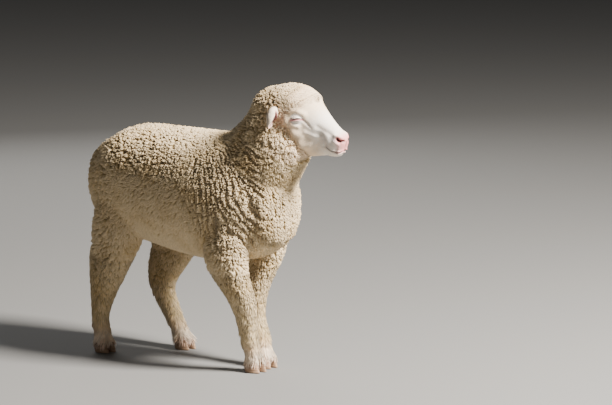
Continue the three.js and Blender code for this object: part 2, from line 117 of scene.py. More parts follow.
def sections(rows, **fixed):
    """Rows of sections as an array. `rows` starts with the names of its columns; the columns that
    it leaves out are in `fixed`, or 0, and power is 2.2."""
    names, *values = rows
    table = np.zeros((len(values), len(COLUMNS)))
    table[:, COLUMNS.index("power")] = 2.2
    for name, value in fixed.items():
        table[:, COLUMNS.index(name)] = value
    for name, column in zip(names.split(), np.array(values, float).T):
        table[:, COLUMNS.index(name)] = column
    return table


def between(table, t):
    """Rows read at t from 0 to 1, on the smooth curve that passes through every row: a cubic whose
    slope at each row is half the step between its two neighbours."""
    last = len(table) - 1
    place = np.minimum(np.asarray(t) * last, last - 1e-9)
    i = place.astype(int)
    f = (place - i)[:, None]
    a, b, c, d = (table[np.clip(i + k, 0, last)] for k in (-1, 0, 1, 2))
    return b + 0.5 * f * (c - a + f * (2 * a - 5 * b + 4 * c - d + f * (3 * (b - c) + d - a)))


def axes_of(rows):
    """Three unit vectors for each row: the way it faces, to its left, and up across it."""
    heading, pitch = np.radians(rows[:, 6]), np.radians(rows[:, 7])
    ahead = np.stack([
        np.cos(heading) * np.cos(pitch), np.sin(heading) * np.cos(pitch), np.sin(pitch)], 1)
    side = np.stack([-np.sin(heading), np.cos(heading), 0 * heading], 1)
    return ahead, side, np.cross(ahead, side)


def rings(rows, angles, grow=0.0):
    """Points round each row: a circle stretched to the row's reach on each side, with sine and
    cosine raised to 2 / power, which squares it. `grow` moves every point outwards."""
    _, side, rise = axes_of(rows)
    power = 2 / rows[:, 8:9]
    cos, sin = np.cos(angles)[None], np.sin(angles)[None]
    wide = rows[:, 3:4]
    high = np.where(sin > 0, rows[:, 4:5], rows[:, 5:6])
    across = np.maximum(wide + grow, 0.05 * wide) * np.sign(cos) * np.abs(cos) ** power
    along = np.maximum(high + grow, 0.05 * high) * np.sign(sin) * np.abs(sin) ** power
    return rows[:, None, :3] + across[..., None] * side[:, None] + along[..., None] * rise[:, None]


def domed(rows, tail, nose, turns=(0.3, 0.6, 0.9, 1.15, 1.35)):
    """The rows with a dome of shrinking rows added at each end that has a reach."""
    ahead = axes_of(rows)[0]
    parts = [rows]
    for end, reach in ((0, -tail), (-1, nose)):
        if not reach:
            continue
        turn = np.array(turns)[:, None]
        cap = np.repeat(rows[[end]], len(turns), 0)
        cap[:, :3] += reach * np.sin(turn) * ahead[end]
        cap[:, 3:6] *= np.cos(turn)
        parts = [cap[::-1], *parts] if end == 0 else [*parts, cap]
    return np.concatenate(parts)


# %% [markdown]
# A tube becomes a mesh when neighbouring rings are joined with four-sided faces and each end is
# closed with a fan. Vertices and faces go into Blender as whole arrays, which is far quicker than
# one at a time.

# %% Arrays into meshes
def tube_faces(count, around, start=0):
    """Faces of a closed tube of `count` rings of `around` points, as (quads, triangles). The two
    tips follow the rings."""
    k = np.arange(around)
    n = (k + 1) % around
    r = np.arange(count - 1)[:, None] * around
    quads = np.stack([r + k, r + n, r + around + n, r + around + k], -1).reshape(-1, 4)
    tail, top = np.full(around, count * around), (count - 1) * around
    tips = np.concatenate([np.stack([tail, n, k], 1), np.stack([tail + 1, top + k, top + n], 1)])
    return quads + start, tips + start


def closed(points):
    """A grid of rings as one list of vertices, with the middle of each end ring as its tip."""
    return np.concatenate([points.reshape(-1, points.shape[-1]), points[[0, -1]].mean(1)])


def new_mesh(name, vertices, *runs):
    """A smooth-shaded mesh from arrays. Each run holds faces of one kind, a row of corners each."""
    mesh = bpy.data.meshes.new(name)
    corners = np.concatenate([run.ravel() for run in runs]).astype(np.int32)
    sizes = np.concatenate([np.full(len(run), run.shape[1]) for run in runs])
    starts = np.cumsum(sizes) - sizes
    mesh.vertices.add(len(vertices))
    mesh.vertices.foreach_set("co", np.ascontiguousarray(vertices, np.float32).ravel())
    mesh.loops.add(len(corners))
    mesh.loops.foreach_set("vertex_index", corners)
    mesh.polygons.add(len(starts))
    mesh.polygons.foreach_set("loop_start", starts.astype(np.int32))
    mesh.update(calc_edges=True)
    mesh.shade_smooth()
    return mesh


def new_object(name, mesh):
    """An object at the origin that holds the mesh."""
    made = bpy.data.objects.new(name, mesh)
    bpy.context.scene.collection.objects.link(made)
    return made


def read(items, key, width, kind=np.float32):
    """One property of many items as rows of `width` numbers."""
    values = np.empty(len(items) * width, kind)
    items.foreach_get(key, values)
    return values.reshape(-1, width)


def vertices_of(mesh):
    """The places of a mesh's vertices as an array."""
    return read(mesh.vertices, "co", 3).astype(float)


def set_colours(mesh, key, values):
    """Four amounts for each vertex, kept as a colour under the name `key`."""
    mesh.attributes.new(key, "FLOAT_COLOR", "POINT").data.foreach_set(
        "color", np.ascontiguousarray(values, np.float32).ravel())


# %% [markdown]
# ## The tables
#
# Trunk, neck, tail and limbs. The limbs run downwards, so that their `up` is the reach ahead.

# %% Trunk, neck and tail
TRUNK = sections([
    "x z wide up down",
    (-325, 470, 126, 110, 140),
    (-250, 475, 152, 138, 165),
    (-150, 462, 160, 154, 166),
    (-50, 455, 164, 162, 172),
    (50, 450, 162, 168, 172),
    (130, 450, 146, 178, 164),
    (195, 445, 120, 165, 144),
    (240, 432, 86, 136, 108),
])
NECK = sections([
    "x y z wide up down heading pitch",
    (120, 0, 480, 122, 130, 140, 0, 25),
    (185, 0, 540, 104, 122, 112, 2, 48),
    (232, 4, 605, 90, 104, 106, 5, 56),
    (256, 10, 655, 83, 92, 102, 8, 52),
])
TAIL = sections([
    "x z wide up down pitch",
    (-325, 562, 30, 20, 20, -12),
    (-346, 553, 31, 20, 20, -32),
    (-360, 535, 30, 19, 19, -56),
    (-368, 514, 30, 18, 18, -74),
    (-372, 492, 28, 16, 16, -82),
    (-375, 470, 25, 15, 15, -86),
    (-377, 452, 18, 12, 12, -90),
], heading=180)

# %% Limbs
LIMB_NAMES = "x y z wide up down"
LIMBS = {
    "front_right": sections([
        LIMB_NAMES,
        (150, -60, 450, 58, 74, 85), (147, -75, 370, 58, 72, 78), (147, -87, 310, 52, 65, 67),
        (154, -84, 262, 44, 56, 56), (174, -73, 214, 37, 45, 45), (183, -63, 177, 32, 37, 37),
        (186, -52, 129, 27, 28, 29), (186, -42, 88, 26, 27, 31), (190, -35, 52, 24, 24, 25),
    ], pitch=-90),
    "front_left": sections([
        LIMB_NAMES,
        (135, 60, 450, 58, 74, 85), (126, 75, 370, 58, 72, 78), (118, 84, 310, 52, 65, 67),
        (113, 76, 262, 44, 55, 56), (108, 64, 214, 37, 44, 45), (109, 57, 177, 32, 36, 37),
        (121, 48, 129, 27, 28, 29), (143, 42, 88, 26, 27, 30), (161, 35, 52, 24, 24, 25),
    ], pitch=-90),
    "hind_right": sections([
        LIMB_NAMES,
        (-225, -62, 500, 66, 95, 90), (-232, -80, 420, 64, 102, 94), (-245, -96, 350, 55, 95, 88),
        (-255, -104, 294, 46, 82, 78), (-270, -105, 256, 43, 73, 70), (-281, -105, 217, 40, 60, 60),
        (-294, -105, 175, 34, 45, 46), (-301, -107, 142, 29, 36, 37), (-308, -109, 97, 24, 28, 27),
        (-300, -111, 56, 24, 27, 28),
    ], pitch=-90),
    "hind_left": sections([
        LIMB_NAMES,
        (-215, 62, 500, 66, 95, 95), (-212, 80, 420, 64, 102, 98), (-212, 91, 350, 55, 97, 94),
        (-216, 90, 294, 46, 88, 82), (-230, 87, 256, 43, 75, 72), (-248, 85, 217, 40, 61, 62),
        (-263, 82, 175, 34, 45, 46), (-254, 78, 142, 29, 37, 38), (-222, 73, 97, 25, 31, 30),
        (-190, 68, 58, 24, 29, 29),
    ], pitch=-90),
}
CORONET = 27.0  # height of the top of the claws

# %% [markdown]
# The head has axes of its own: its origin is midway between the eyes and its x runs from the eyes
# to the nostrils. It is dipped, turned to the animal's left and tipped a little.

# %% Head
HEAD_AT = np.array([327.0, 26.0, 680.0])
ROLL, DIP, YAW = np.radians([6, 24.5, 11])


def turned(angle, a, b):
    """A turn by `angle` from axis a towards axis b."""
    turn = np.eye(3)
    turn[[a, b], [a, b]] = math.cos(angle)
    turn[b, a], turn[a, b] = math.sin(angle), -math.sin(angle)
    return turn


HEAD_TURN = turned(YAW, 0, 1) @ turned(DIP, 2, 0) @ turned(ROLL, 1, 2)
HEAD = sections([
    "x z wide up down power",
    (-112, -32, 74, 58, 74, 2.2),
    (-75, -28, 80, 82, 80, 2.2),
    (-35, -24, 75, 83, 82, 2.2),
    (0, -15, 60, 71, 90, 2.2),
    (24, -12, 47, 58, 89, 2.1),
    (50, -12, 38, 46, 84, 2.0),
    (78, -16, 31, 38, 63, 2.0),
    (100, -20, 28, 34, 45, 2.2),
    (115, -21, 27, 31, 37, 2.2),
    (126, -22, 23, 24, 31, 2.2),
])


def off_head(points):
    """Points on the head's own axes, in the animal's frame."""
    return points @ HEAD_TURN.T + HEAD_AT


def on_head(points):
    """Points in the animal's frame, on the head's own axes."""
    return (points - HEAD_AT) @ HEAD_TURN


# %% [markdown]
# ## How deep the fleece is
#
# The solid model's outline runs through the tips of the fleece. The skin lies inside it by the
# depth of wool there: most on the body, less on the head, a few millimetres of short wool on the
# lower legs and hardly anything on the face.

# %% Depth of the coat
HEAD_FROM = 220.0  # in the animal's frame, the head lies ahead of this x

# The edge of the wool on the head's own axes: a height, and how far forward the wool reaches there.
FLEECE_EDGE = np.array([
    (-90, 42), (-62, 27), (-38, 5), (-18, -17), (0, -25), (20, -12), (56, 8)], float)


def smoothstep(x, low, high):
    """0 below low, 1 above high, and an even S-curve between."""
    t = np.clip((np.asarray(x) - low) / (high - low), 0, 1)
    return t * t * (3 - 2 * t)


def past_edge(head_points):
    """How far a point of the head lies in front of the edge of its wool."""
    return head_points[..., 0] - np.interp(head_points[..., 2], *FLEECE_EDGE.T)


def near_head(head_points):
    """Whether a point lies about the head at all."""
    return (head_points[..., 0] > -130) & (head_points[..., 2] > -110)


def bareness(points):
    """1 on the bare face, 0 in the fleece."""
    local = on_head(points)
    return np.where(near_head(local), smoothstep(past_edge(local), -16, 2), 0)


def woolliness(points):
    """1 where the fleece is full, 0 on the face and the lower legs."""
    return (1 - bareness(points)) * smoothstep(points[..., 2], 170, 380)


def on_cap(points):
    """1 on the front of the crown, whose velvet overhangs the forehead like a cap."""
    local = on_head(points)
    above = smoothstep(local[..., 2], 14, 40) * smoothstep(local[..., 0], -75, -35)
    return above * (points[..., 0] > HEAD_FROM)


def tuft(points):
    """The height of a small tuft that stands out at the front of the cap."""
    return 4 * np.exp(-(((on_head(points) - [11, 0, 54]) / [6, 8, 13]) ** 2).sum(-1))


def cap_lift(points):
    """How much further out the cap stands than the head's own table."""
    return 4.5 * on_cap(points) * smoothstep(past_edge(on_head(points)), 24, -10) + tuft(points)


def pile(points):
    """The height of the coat over the skin, in millimetres."""
    local = on_head(points)
    thins = smoothstep(local[..., 0], -150, -60) * smoothstep(points[..., 2], 560, 640)
    short = 1.0 + 3.5 * (1 - smoothstep(points[..., 2], 300, 400))
    return short + (9.5 - 1.5 * thins - 5.5 * on_cap(points)) * woolliness(points)


def coat_depth(points):
    """How far the skin lies inside the tables' outline."""
    return pile(points) - cap_lift(points)


def paleness(points):
    """How far the coat has turned from cream wool to white hair: it starts a little behind the
    edge of the fleece and is complete at the muzzle."""
    local = on_head(points)
    edge = past_edge(local)
    pale = 0.30 * smoothstep(edge, -110, -40) + 0.32 * smoothstep(edge, -40, -4)
    pale += 0.38 * smoothstep(edge, 12, 75)
    pale = np.maximum(pale, 0.6 * on_cap(points) * smoothstep(local[..., 0], -60, -30))
    return np.where(near_head(local) & (points[..., 0] > HEAD_FROM), pale, 0)


# %% [markdown]
# ## The skin
#
# The tubes overlap where they meet. A voxel remesh melts them into one closed surface with even
# faces, and a few rounds of smoothing soften the joins, as flesh would. The deep fold between
# cheek and throat takes many more rounds, so that the jowl runs over into the neck.

# %% Rough body, melted into one surface
VOXEL = 0.006
FIRM_ROUNDS, JOWL_ROUNDS = 8, 90  # of smoothing, for the whole body and for the jowl


def inset_tube(table, steps, around, tail=0.0, nose=0.0, place=lambda p: p):
    """Rings of a domed tube, drawn in from the outline by the depth of the coat."""
    rows = domed(between(table, np.linspace(0, 1, steps + 1)), tail, nose)
    angles = np.arange(around) * 2 * np.pi / around
    return rings(rows, angles, -coat_depth(place(rings(rows, angles))))


def pasterns(line, foot):
    """Tubes for the two toes above the claws of one foot."""
    (ax, ay, az), (ex, ey, ez) = line[-2:, :3]
    fx, fy = foot
    return [
        sections([
            LIMB_NAMES,
            (ax, ay + 6 * side, az, 15, 20, 20),
            (ex, ey + 9 * side, ez, 15, 23, 22),
            (fx - 3, fy + 13.5 * side, CORONET, 13, 25, 22),
            (fx + 4, fy + 13.5 * side, CORONET - 16, 9, 12, 12),
        ], pitch=-90)
        for side in (-1, 1)
    ]


tubes = [
    inset_tube(TRUNK, 40, 72, tail=48, nose=38),
    inset_tube(NECK, 24, 72),
    inset_tube(TAIL, 20, 28, nose=10),
    off_head(inset_tube(HEAD, 50, 72, tail=30, nose=8, place=off_head)),
]
for name, line in LIMBS.items():
    tubes.append(inset_tube(line, 40, 36))
    tubes += [inset_tube(toe, 14, 20) for toe in pasterns(line, FOOT[name])]

vertices, quads, tips, count = [], [], [], 0
for grid in tubes:
    q, t = tube_faces(len(grid), grid.shape[1], count)
    vertices.append(closed(to_frame(grid)))
    quads.append(q)
    tips.append(t)
    count += len(vertices[-1])
rough = new_object("rough", new_mesh(
    "rough", np.concatenate(vertices), np.concatenate(quads), np.concatenate(tips)))
melt = rough.modifiers.new("melt", "REMESH")
melt.mode, melt.voxel_size = "VOXEL", VOXEL
soften = rough.modifiers.new("soften", "SMOOTH")
soften.factor = 0.5


def melted(rounds):
    """The melted mesh after so many rounds of smoothing."""
    soften.iterations = rounds
    return bpy.data.meshes.new_from_object(
        rough.evaluated_get(bpy.context.evaluated_depsgraph_get()))


body_mesh = melted(FIRM_ROUNDS)
firm, soft = (vertices_of(mesh) for mesh in (body_mesh, melted(JOWL_ROUNDS)))
bpy.data.objects.remove(rough)
x, y, z = np.moveaxis(on_head((firm - SHIFT) * 1000), 1, 0)
jowl = smoothstep(x, -105, -75) * smoothstep(x, 45, 15) * smoothstep(z, -120, -95)
jowl *= smoothstep(z, -5, -30) * smoothstep(np.abs(y), 25, 45)
firm += (soft - firm) * jowl[:, None]
body_mesh.vertices.foreach_set("co", firm.astype(np.float32).ravel())
body_mesh.update()
print("melted skin:", len(body_mesh.polygons), "faces")

# %% [markdown]
# ## The face
#
# Six-millimetre faces are enough under the wool, but not for lids, lips and nostrils. The front of
# the head is therefore drawn a second time as a fine grid, from the same table. Its rings are
# crowded at the eyes and the nose, and its points towards the sides, where the features are.
# Behind the edge of the wool the fine grid dips under the rough skin, and in front of it the rough
# skin dips under the fine grid, so that the two trade places where the wool hides it.

# %% Fine grid of the front of the head
AROUND, ALONG = 224, 206
FACE_STARTS = 1.5 / 9  # where in the head's table the fine grid starts

turn = np.arange(AROUND) * 2 * np.pi / AROUND
turn -= 0.28 * np.sin(2 * turn)  # denser at the sides than above and below
steps = np.linspace(FACE_STARTS, 1, 2000)
crowd = 1 + 2.2 * np.exp(-(((steps - 0.33) / 0.075) ** 2))  # at the eyes
crowd = crowd + 0.8 * np.exp(-(((steps - 0.93) / 0.1) ** 2))  # at the nose
crowd = np.cumsum(crowd) / crowd.sum()
rows = between(HEAD, np.interp(np.linspace(crowd[0], 1, ALONG), crowd, steps))
rows = domed(rows, 0, 8, np.linspace(0.1, 1.5, 18))
face = rings(rows, turn, -coat_depth(off_head(rings(rows, turn))))
smooth_face = face.reshape(-1, 3)


def grid_normals(grid):
    """Unit vectors out of a closed grid: the step round it crossed with the step along it."""
    out = np.cross(np.roll(grid, -1, 1) - np.roll(grid, 1, 1), np.gradient(grid, axis=0))
    return out / np.maximum(np.linalg.norm(out, axis=2, keepdims=True), 1e-9)


def to_left(points):
    """Points on the head's own axes, with those of its right side mirrored to the left."""
    return points * [1, 0, 1] + np.abs(points) * [0, 1, 0]


def near(points, path, width):
    """How near points lie to a path on the face, on either side of it: 1 on the path, falling as
    exp(-(distance / width) squared). The path is first laid on the surface, at the mean of what is
    nearest, and the distance is measured to its straight pieces."""
    path = np.array(path, float)
    steps = np.linspace(0, len(path) - 1, 4 * (len(path) - 1) + 1)
    line = np.stack([np.interp(steps, np.arange(len(path)), column) for column in path.T], 1)
    half = smooth_face[smooth_face[:, 1] >= 0]
    away = ((half[None] - line[:, None]) ** 2).sum(2)
    close = np.exp(-(away - away.min(1, keepdims=True)) / 6.0)
    line = close @ half / close.sum(1, keepdims=True)
    folded = to_left(points)
    best = np.full(points.shape[:-1], np.inf)
    for start, end in zip(line[:-1], line[1:]):
        piece = end - start
        share = np.clip((folded - start) @ piece / (piece @ piece), 0, 1)
        gap = folded - start - share[..., None] * piece
        best = np.minimum(best, (gap**2).sum(-1))
    return np.exp(-best / width**2)


print("fine face:", face.shape[0], "rings of", face.shape[1])

# %% [markdown]
# Each feature of the face is a path on it with a height and a width. Broad ones come first: the
# brow, the cheek muscle, the ridge below the eye, the wings of the nose and the chin. Then the
# narrow ones are cut: the line of the mouth with a lip on each side, the nostrils, the groove that
# divides the nose, and the groove that runs from the corner of the eye.

# %% Carve the face
BROAD = [
    # height, width, path
    (4.0, 8, [(-22, 60, 14), (-4, 58, 22), (16, 50, 20)]),  # brow
    (2.5, 9, [(-26, 66, -6), (-20, 64, -16)]),  # behind the eye
    (3.2, 6, [(-4, 58, -17), (13, 51, -16)]),  # below the eye
    (7.0, 15, [(8, 56, -38), (27, 48, -42), (31, 42, -66)]),  # cheek
    (5.0, 13, [(8, 46, -62), (34, 40, -62), (52, 36, -58)]),  # jaw
    (-5.0, 11, [(70, 34, -16), (70, 34, -36), (68, 33, -58)]),  # hollow in front of the cheek
    (2.0, 9, [(96, 28, -22), (104, 28, -30)]),  # side of the muzzle
    (2.2, 6, [(34, 44, -24), (58, 37, -26), (76, 31, -24)]),  # ridge along the side of the face
    (-2.0, 7, [(56, 32, 2), (92, 26, -1)]),  # beside the bridge of the nose
    (3.0, 5, [(106, 25, 4), (118, 22, 7), (128, 14, 5)]),  # wing of the nose
    (1.8, 4, [(110, 27, -13), (122, 21, -16)]),  # below the nostril
    (2.5, 9, [(108, 4, -58), (120, 4, -52)]),  # chin
    (-2.4, 6, [(129, 19, -13), (128, 20, -24), (123, 23, -34)]),  # front corner of the muzzle
]
MOUTH = [(96, 28, -37), (104, 27, -39.5), (113, 25, -41), (124, 19, -39.5), (131, 10, -35.5),
         (134, 0, -32.5)]
NOSTRIL = [(116, 24, -3), (121, 22, -6), (126, 18, -7), (131, 14, -5), (134, 11, -3)]
TEAR = [(17, 47, 5), (26, 43, 1), (34, 40, -3)]
PHILTRUM = [(134, 0, -8), (135, 0, -20), (134, 0, -31)]


def lowered(path, drop):
    """The same path, `drop` further down."""
    return [(x, y, z - drop) for x, y, z in path]


NARROW = [
    (1.8, 2.6, lowered(MOUTH, -4.0)),  # upper lip
    (1.8, 2.8, lowered(MOUTH, 4.6)),  # lower lip
    (-4.2, 1.5, MOUTH),
    (-1.6, 3.0, [(91, 29, -36), (88, 30, -41)]),  # corner of the mouth
    (-6.0, 3.0, NOSTRIL),
    (-5.0, 3.2, [(118, 24, -4), (123, 21, -6)]),  # back of the nostril
    (-1.8, 1.5, PHILTRUM),
    (-1.8, 3.4, TEAR),
    (-0.9, 3.2, [(34, 40, -3), (41, 38, -7)]),  # end of the tear groove
]
for features in (BROAD, NARROW):
    out = grid_normals(face)
    face = face + out * sum(h * near(face, path, w) for h, w, path in features)[..., None]
print("carved", len(BROAD) + len(NARROW), "features")

# %% [markdown]
# The lids are the skin itself, pushed out to a ball a little larger than the eye. Where they part,
# the skin falls behind the eyeball, which leaves a lid with a real edge. The points nearest to a
# margin are first moved onto it, so that it is a clean line. This animal is blinking: the slit is
# narrow and long, and tips down to the back.

# %% Lids
EYE = np.array([0.0, 46.0, 0.0])
EYEBALL, LID = 14.0, 1.8
GAZE = np.array([0.30, 0.93, 0.12]) / np.linalg.norm([0.30, 0.93, 0.12])
SLIT_LONG, SLIT_HALF, SLIT_BACK = 18.5, 2.1, 1.5
LID_BLEND = 2.5  # over this width the lids' ball runs out into the face
ON_MARGIN, TO_MARGIN = 0.4, 1.1  # points this near to a margin are moved onto it, or towards it

slit_along = np.array([31.0, -17.0, 18.0])
slit_along -= GAZE * (slit_along @ GAZE)
slit_along /= np.linalg.norm(slit_along)
slit_up = np.cross(slit_along, GAZE)


def lid_line(u):
    """The height of the slit's middle line at u: an arch whose corners lie 4 mm lower."""
    return 0.6 - 0.012 * u**2


def eye_place(points):
    """Distance from the middle of the nearer eye, and the place across its lids: along the slit
    and above it."""
    away = to_left(points) - EYE
    u, v = away @ slit_along + SLIT_BACK, away @ slit_up
    return np.linalg.norm(away, axis=-1), u, v - lid_line(u)


def slit_half(u):
    """Half the opening between the lids at u: widest in the middle and nothing at the corners."""
    return SLIT_HALF * np.clip(1 - np.abs(u / SLIT_LONG) ** 2.5, 0, 1) * (0.75 + 0.014 * u)


mirror = np.where(face[..., 1:2] < 0, [1, -1, 1], [1, 1, 1])
far, u, v = eye_place(face)
outward = np.abs(face[..., 1]) > EYE[1] - 6
gap = np.abs(v) - slit_half(u)
snap = gap * (smoothstep(np.abs(gap), ON_MARGIN, TO_MARGIN) - 1) * np.sign(v)
at_slit = outward & (far < 24) & (np.abs(u) < SLIT_LONG)
on_margin = at_slit & (np.abs(gap) < ON_MARGIN)
face = face + (snap * at_slit)[..., None] * slit_up * mirror
far, u, v = eye_place(face)
lid_ball = EYEBALL + LID + 0.7 * np.exp(-(((np.abs(v) - slit_half(u) - 1.0) / 1.0) ** 2))
for fold, depth, width in ((6.0, 1.0, 1.1), (10.5, 0.9, 1.3), (-4.6, 0.6, 1.0), (-8.5, 0.9, 1.4)):
    lid_ball -= depth * np.exp(-(((v - fold) / width) ** 2))
outer = np.clip(0.5 + 0.5 * (far - lid_ball) / LID_BLEND, 0, 1)
raised = lid_ball * (1 - outer) + far * outer + LID_BLEND * outer * (1 - outer)
part = smoothstep(np.abs(v) - slit_half(u), -0.02, -0.4) * (np.abs(u) < SLIT_LONG)
raised = raised * (1 - part) + (EYEBALL - 2.0) * part
eye_middle = EYE * mirror
moved = eye_middle + (face - eye_middle) * (raised / far)[..., None]
face = np.where((outward & (far < 30))[..., None], moved, face)
print("lids stand", round(float(raised[outward & (far < 20)].max()), 1), "mm from the eye's middle")

# %% [markdown]
# The two skins are now made to trade places at the edge of the wool, and the fine grid is put in
# the frame.

# %% Let the two skins change places
edge = past_edge(face)
face -= grid_normals(face) * (6 * (1 - smoothstep(edge, -16, -8)))[..., None]
face_vertices = closed(off_head(face))

body_vertices = (vertices_of(body_mesh) - SHIFT) * 1000
local = on_head(body_vertices)
deeper = 8 * smoothstep(local[:, 0], 50, 90) + 5 * smoothstep(local[:, 0], 95, 115)
sink = (6 * smoothstep(past_edge(local), -12, -4) + deeper) * near_head(local)
body_vertices -= read(body_mesh.vertices, "normal", 3) * sink[:, None]
print("sunk", int((sink > 3).sum()), "rough vertices under the fine face")

# %% [markdown]
# ## The ears
#
# An ear is a leaf rolled into a cup. Round each section the back half is an ellipse, and the front
# half follows the back at the thickness of the ear, so the section is a crescent. At the root the
# crescent fills out to a full oval, and at the tip it closes.

# %% Ears
EAR = sections([
    "x y z wide up down heading pitch",
    (-56, 50, -6, 12, 15, 15, 80, -4),
    (-56, 72, -8, 17, 18, 19, 78, -8),
    (-47, 92, -13, 16, 20, 22, 72, -18),
    (-38, 107, -19, 12, 18, 20, 68, -30),
    (-33, 117, -26, 7, 10, 11, 66, -40),
], power=2.0)
EAR_WOOL = 2.5  # the skin of an ear lies this far inside its woolly back


def ear_grid(side, along=56, around=72):
    """Rings of a crescent. With c and s the cosine and sine of the way round, c spans the leaf from
    edge to edge and s its thickness. On the front half s is scaled by 1 - hollow, which turns it
    inside out where hollow is above 1, and c squared brings both edges forward into a cup."""
    rows = domed(between(EAR, np.linspace(0, 1, along)), 0, 5, np.linspace(0.15, 1.5, 10))
    rows[:, 3:6] = np.maximum(rows[:, 3:6] - EAR_WOOL * np.array([1.3, 0.8, 0.8]), 0.6)
    _, back, rise = axes_of(rows)
    t = np.linspace(0, 1, len(rows))[:, None]
    angle = np.arange(around) * 2 * np.pi / around
    c, s = np.cos(angle)[None], np.sin(angle)[None]
    opened = smoothstep(t, 0.30, 0.50) * (1 - smoothstep(t, 0.86, 0.99))
    hollow = 1.70 * opened * (1 - c**6)
    thick = (np.where(s > 0, s * (1 - hollow), s) + 0.55 * opened * c**2) * rows[:, 3:4]
    tall = c * np.where(c > 0, rows[:, 4:5], rows[:, 5:6])
    points = rows[:, None, :3] - thick[..., None] * back[:, None] + tall[..., None] * rise[:, None]
    points[..., 1] *= side
    inside = smoothstep(t, 0.24, 0.34) * (1 - c**6) * np.clip(s * 3, 0, 1)
    return (points[:, ::-1], inside[:, ::-1]) if side < 0 else (points, inside)


ears = {side: ear_grid(side) for side in (-1, 1)}
print("ear reaches", ears[1][0][..., 1].max().round(1), "mm from the middle of the head")

# %% [markdown]
# ## Markings
#
# Every vertex of the skin carries four amounts, and the coat takes them over at its roots: how
# bare it is of wool, how pink, how dark and how grey. The dark is painted shade in hollows and
# creases, and part of the grey is painted shade too. The materials turn them into colours.

# %% Markings
def face_marks(local, uncarved):
    """Bare, pink, dark and grey on the fine face, for points on the head's own axes, with each
    feature measured where it lay before it was carved. The dark is painted shade in the nostrils,
    along the mouth and the groove of the nose, and behind and along the lids. The grey is a patch
    behind the nostril, and painted shade along the tear groove and the side of the muzzle. Short
    cream velvet covers the forehead and the cheek between the fleece and the white hair."""
    x, z = local[..., 0], local[..., 2]
    bare = paleness(off_head(local))
    far, u, v = eye_place(local)
    lids = smoothstep(far, 26, 18) * (np.abs(local[..., 1]) > EYE[1] - 12)
    bare = np.maximum(bare, lids)
    rim = np.exp(-(((np.abs(v) - slit_half(u)) / np.where(v < 0, 2.6, 1.3)) ** 2))
    rim *= smoothstep(np.abs(u), SLIT_LONG + 3, SLIT_LONG) * lids
    tip = smoothstep(x + 0.25 * z, 106, 131) * smoothstep(z, -46, -28)
    inner = near(uncarved, NOSTRIL, 3.4)
    lips = near(uncarved, MOUTH, 4.0) * smoothstep(x, 112, 130)
    pink = np.clip(tip + 0.35 * lips + 0.9 * near(uncarved, NOSTRIL, 6.0) + 0.95 * rim, 0, 0.97)
    # Painted shade in the nostrils, along the line of the mouth and in the groove of the nose.
    dark = 1.25 * inner + 0.75 * near(uncarved, MOUTH, 1.9)
    dark += 0.35 * near(uncarved, PHILTRUM, 1.2)
    # Painted shade on the skin behind the lids and along their margins.
    inside_lids = (far < EYEBALL + 0.2) & (far > 2) & (lids > 0.5)
    dark = np.where(inside_lids, 0.7, np.clip(dark + 0.5 * on_margin, 0, 1))
    grey = 0.8 * near(uncarved, [(106, 27, -8), (112, 26, -10)], 5.0)
    # Painted shade along the tear groove and the side of the muzzle.
    grey += 0.55 * near(uncarved, TEAR, 2.4)
    grey += 0.22 * near(uncarved, [(78, 32, -18), (94, 28, -28), (104, 27, -40)], 13)
    return np.stack([bare, pink, dark, np.clip(grey, 0, 1)], -1)


def body_marks(points):
    """The same four for the rest of the skin: as pale as the coat is there, pale towards the
    feet, and a little pink above the claws."""
    marks = np.zeros((*points.shape[:-1], 4))
    marks[..., 0] = np.maximum(paleness(points), 0.8 * smoothstep(points[..., 2], 105, 48))
    marks[..., 1] = 0.25 * smoothstep(points[..., 2], 45, 25)
    return marks


def ear_marks(inside, t):
    """The same four for an ear of rings t from root to tip: pale at its rim, dark with painted
    shade in the cup from the root to beyond its middle, and pink towards the tip."""
    # Painted shade deep in the cup of the ear, as a dark marking.
    deep = inside * smoothstep(t, 0.84, 0.60)
    return np.stack([
        0.8 + 0 * inside, 0.9 * inside, np.clip(1.1 * deep, 0, 0.92), 0.12 * (1 - inside)], -1)


# %% [markdown]
# ## One skin
#
# Rough body, fine face and ears become one mesh. Its unwrap gives each lock a place of its own
# beside its neighbours.

# %% Join the skin
def cut_along(quads, marked):
    """The quads, and apart from them those with two opposite marked corners, cut between the two
    into triangles."""
    a, b, c, d = marked[quads].T
    one, other = a & c, b & d & ~(a & c)
    pieces = [quads[one][:, [0, 1, 2, 0, 2, 3]], quads[other][:, [1, 2, 3, 1, 3, 0]]]
    return quads[~(one | other)], np.concatenate(pieces).reshape(-1, 3)


vertices, marks = [body_vertices], [body_marks(body_vertices)]
quads, tips = [read(body_mesh.loops, "vertex_index", 1, np.int32).reshape(-1, 4)], []
for grid, mark in [(face, face_marks(face, smooth_face.reshape(face.shape))), *(
    (points, ear_marks(inside, np.linspace(0, 1, len(points))[:, None]))
    for points, inside in ears.values()
)]:
    q, t = tube_faces(len(grid), grid.shape[1], sum(map(len, vertices)))
    vertices.append(off_head(closed(grid)))
    marks.append(closed(mark))
    quads.append(q)
    tips.append(t)
skin_points = np.concatenate(vertices)
skin_marks = np.concatenate(marks)
on_lid = np.zeros(len(skin_points), bool)
on_lid[len(body_vertices):][:on_margin.size] = on_margin.ravel()
quads, cut = cut_along(np.concatenate(quads), on_lid)
skin = new_object("skin", new_mesh("skin", to_frame(skin_points), quads, cut, np.concatenate(tips)))
set_colours(skin.data, "marking", skin_marks)

skin.data.uv_layers.new(name="OFBake")
bpy.context.view_layer.objects.active = skin
skin.select_set(True)
bpy.ops.object.mode_set(mode="EDIT")
bpy.ops.mesh.select_all(action="SELECT")
bpy.ops.uv.smart_project(angle_limit=math.radians(66), island_margin=0.001)
bpy.ops.object.mode_set(mode="OBJECT")

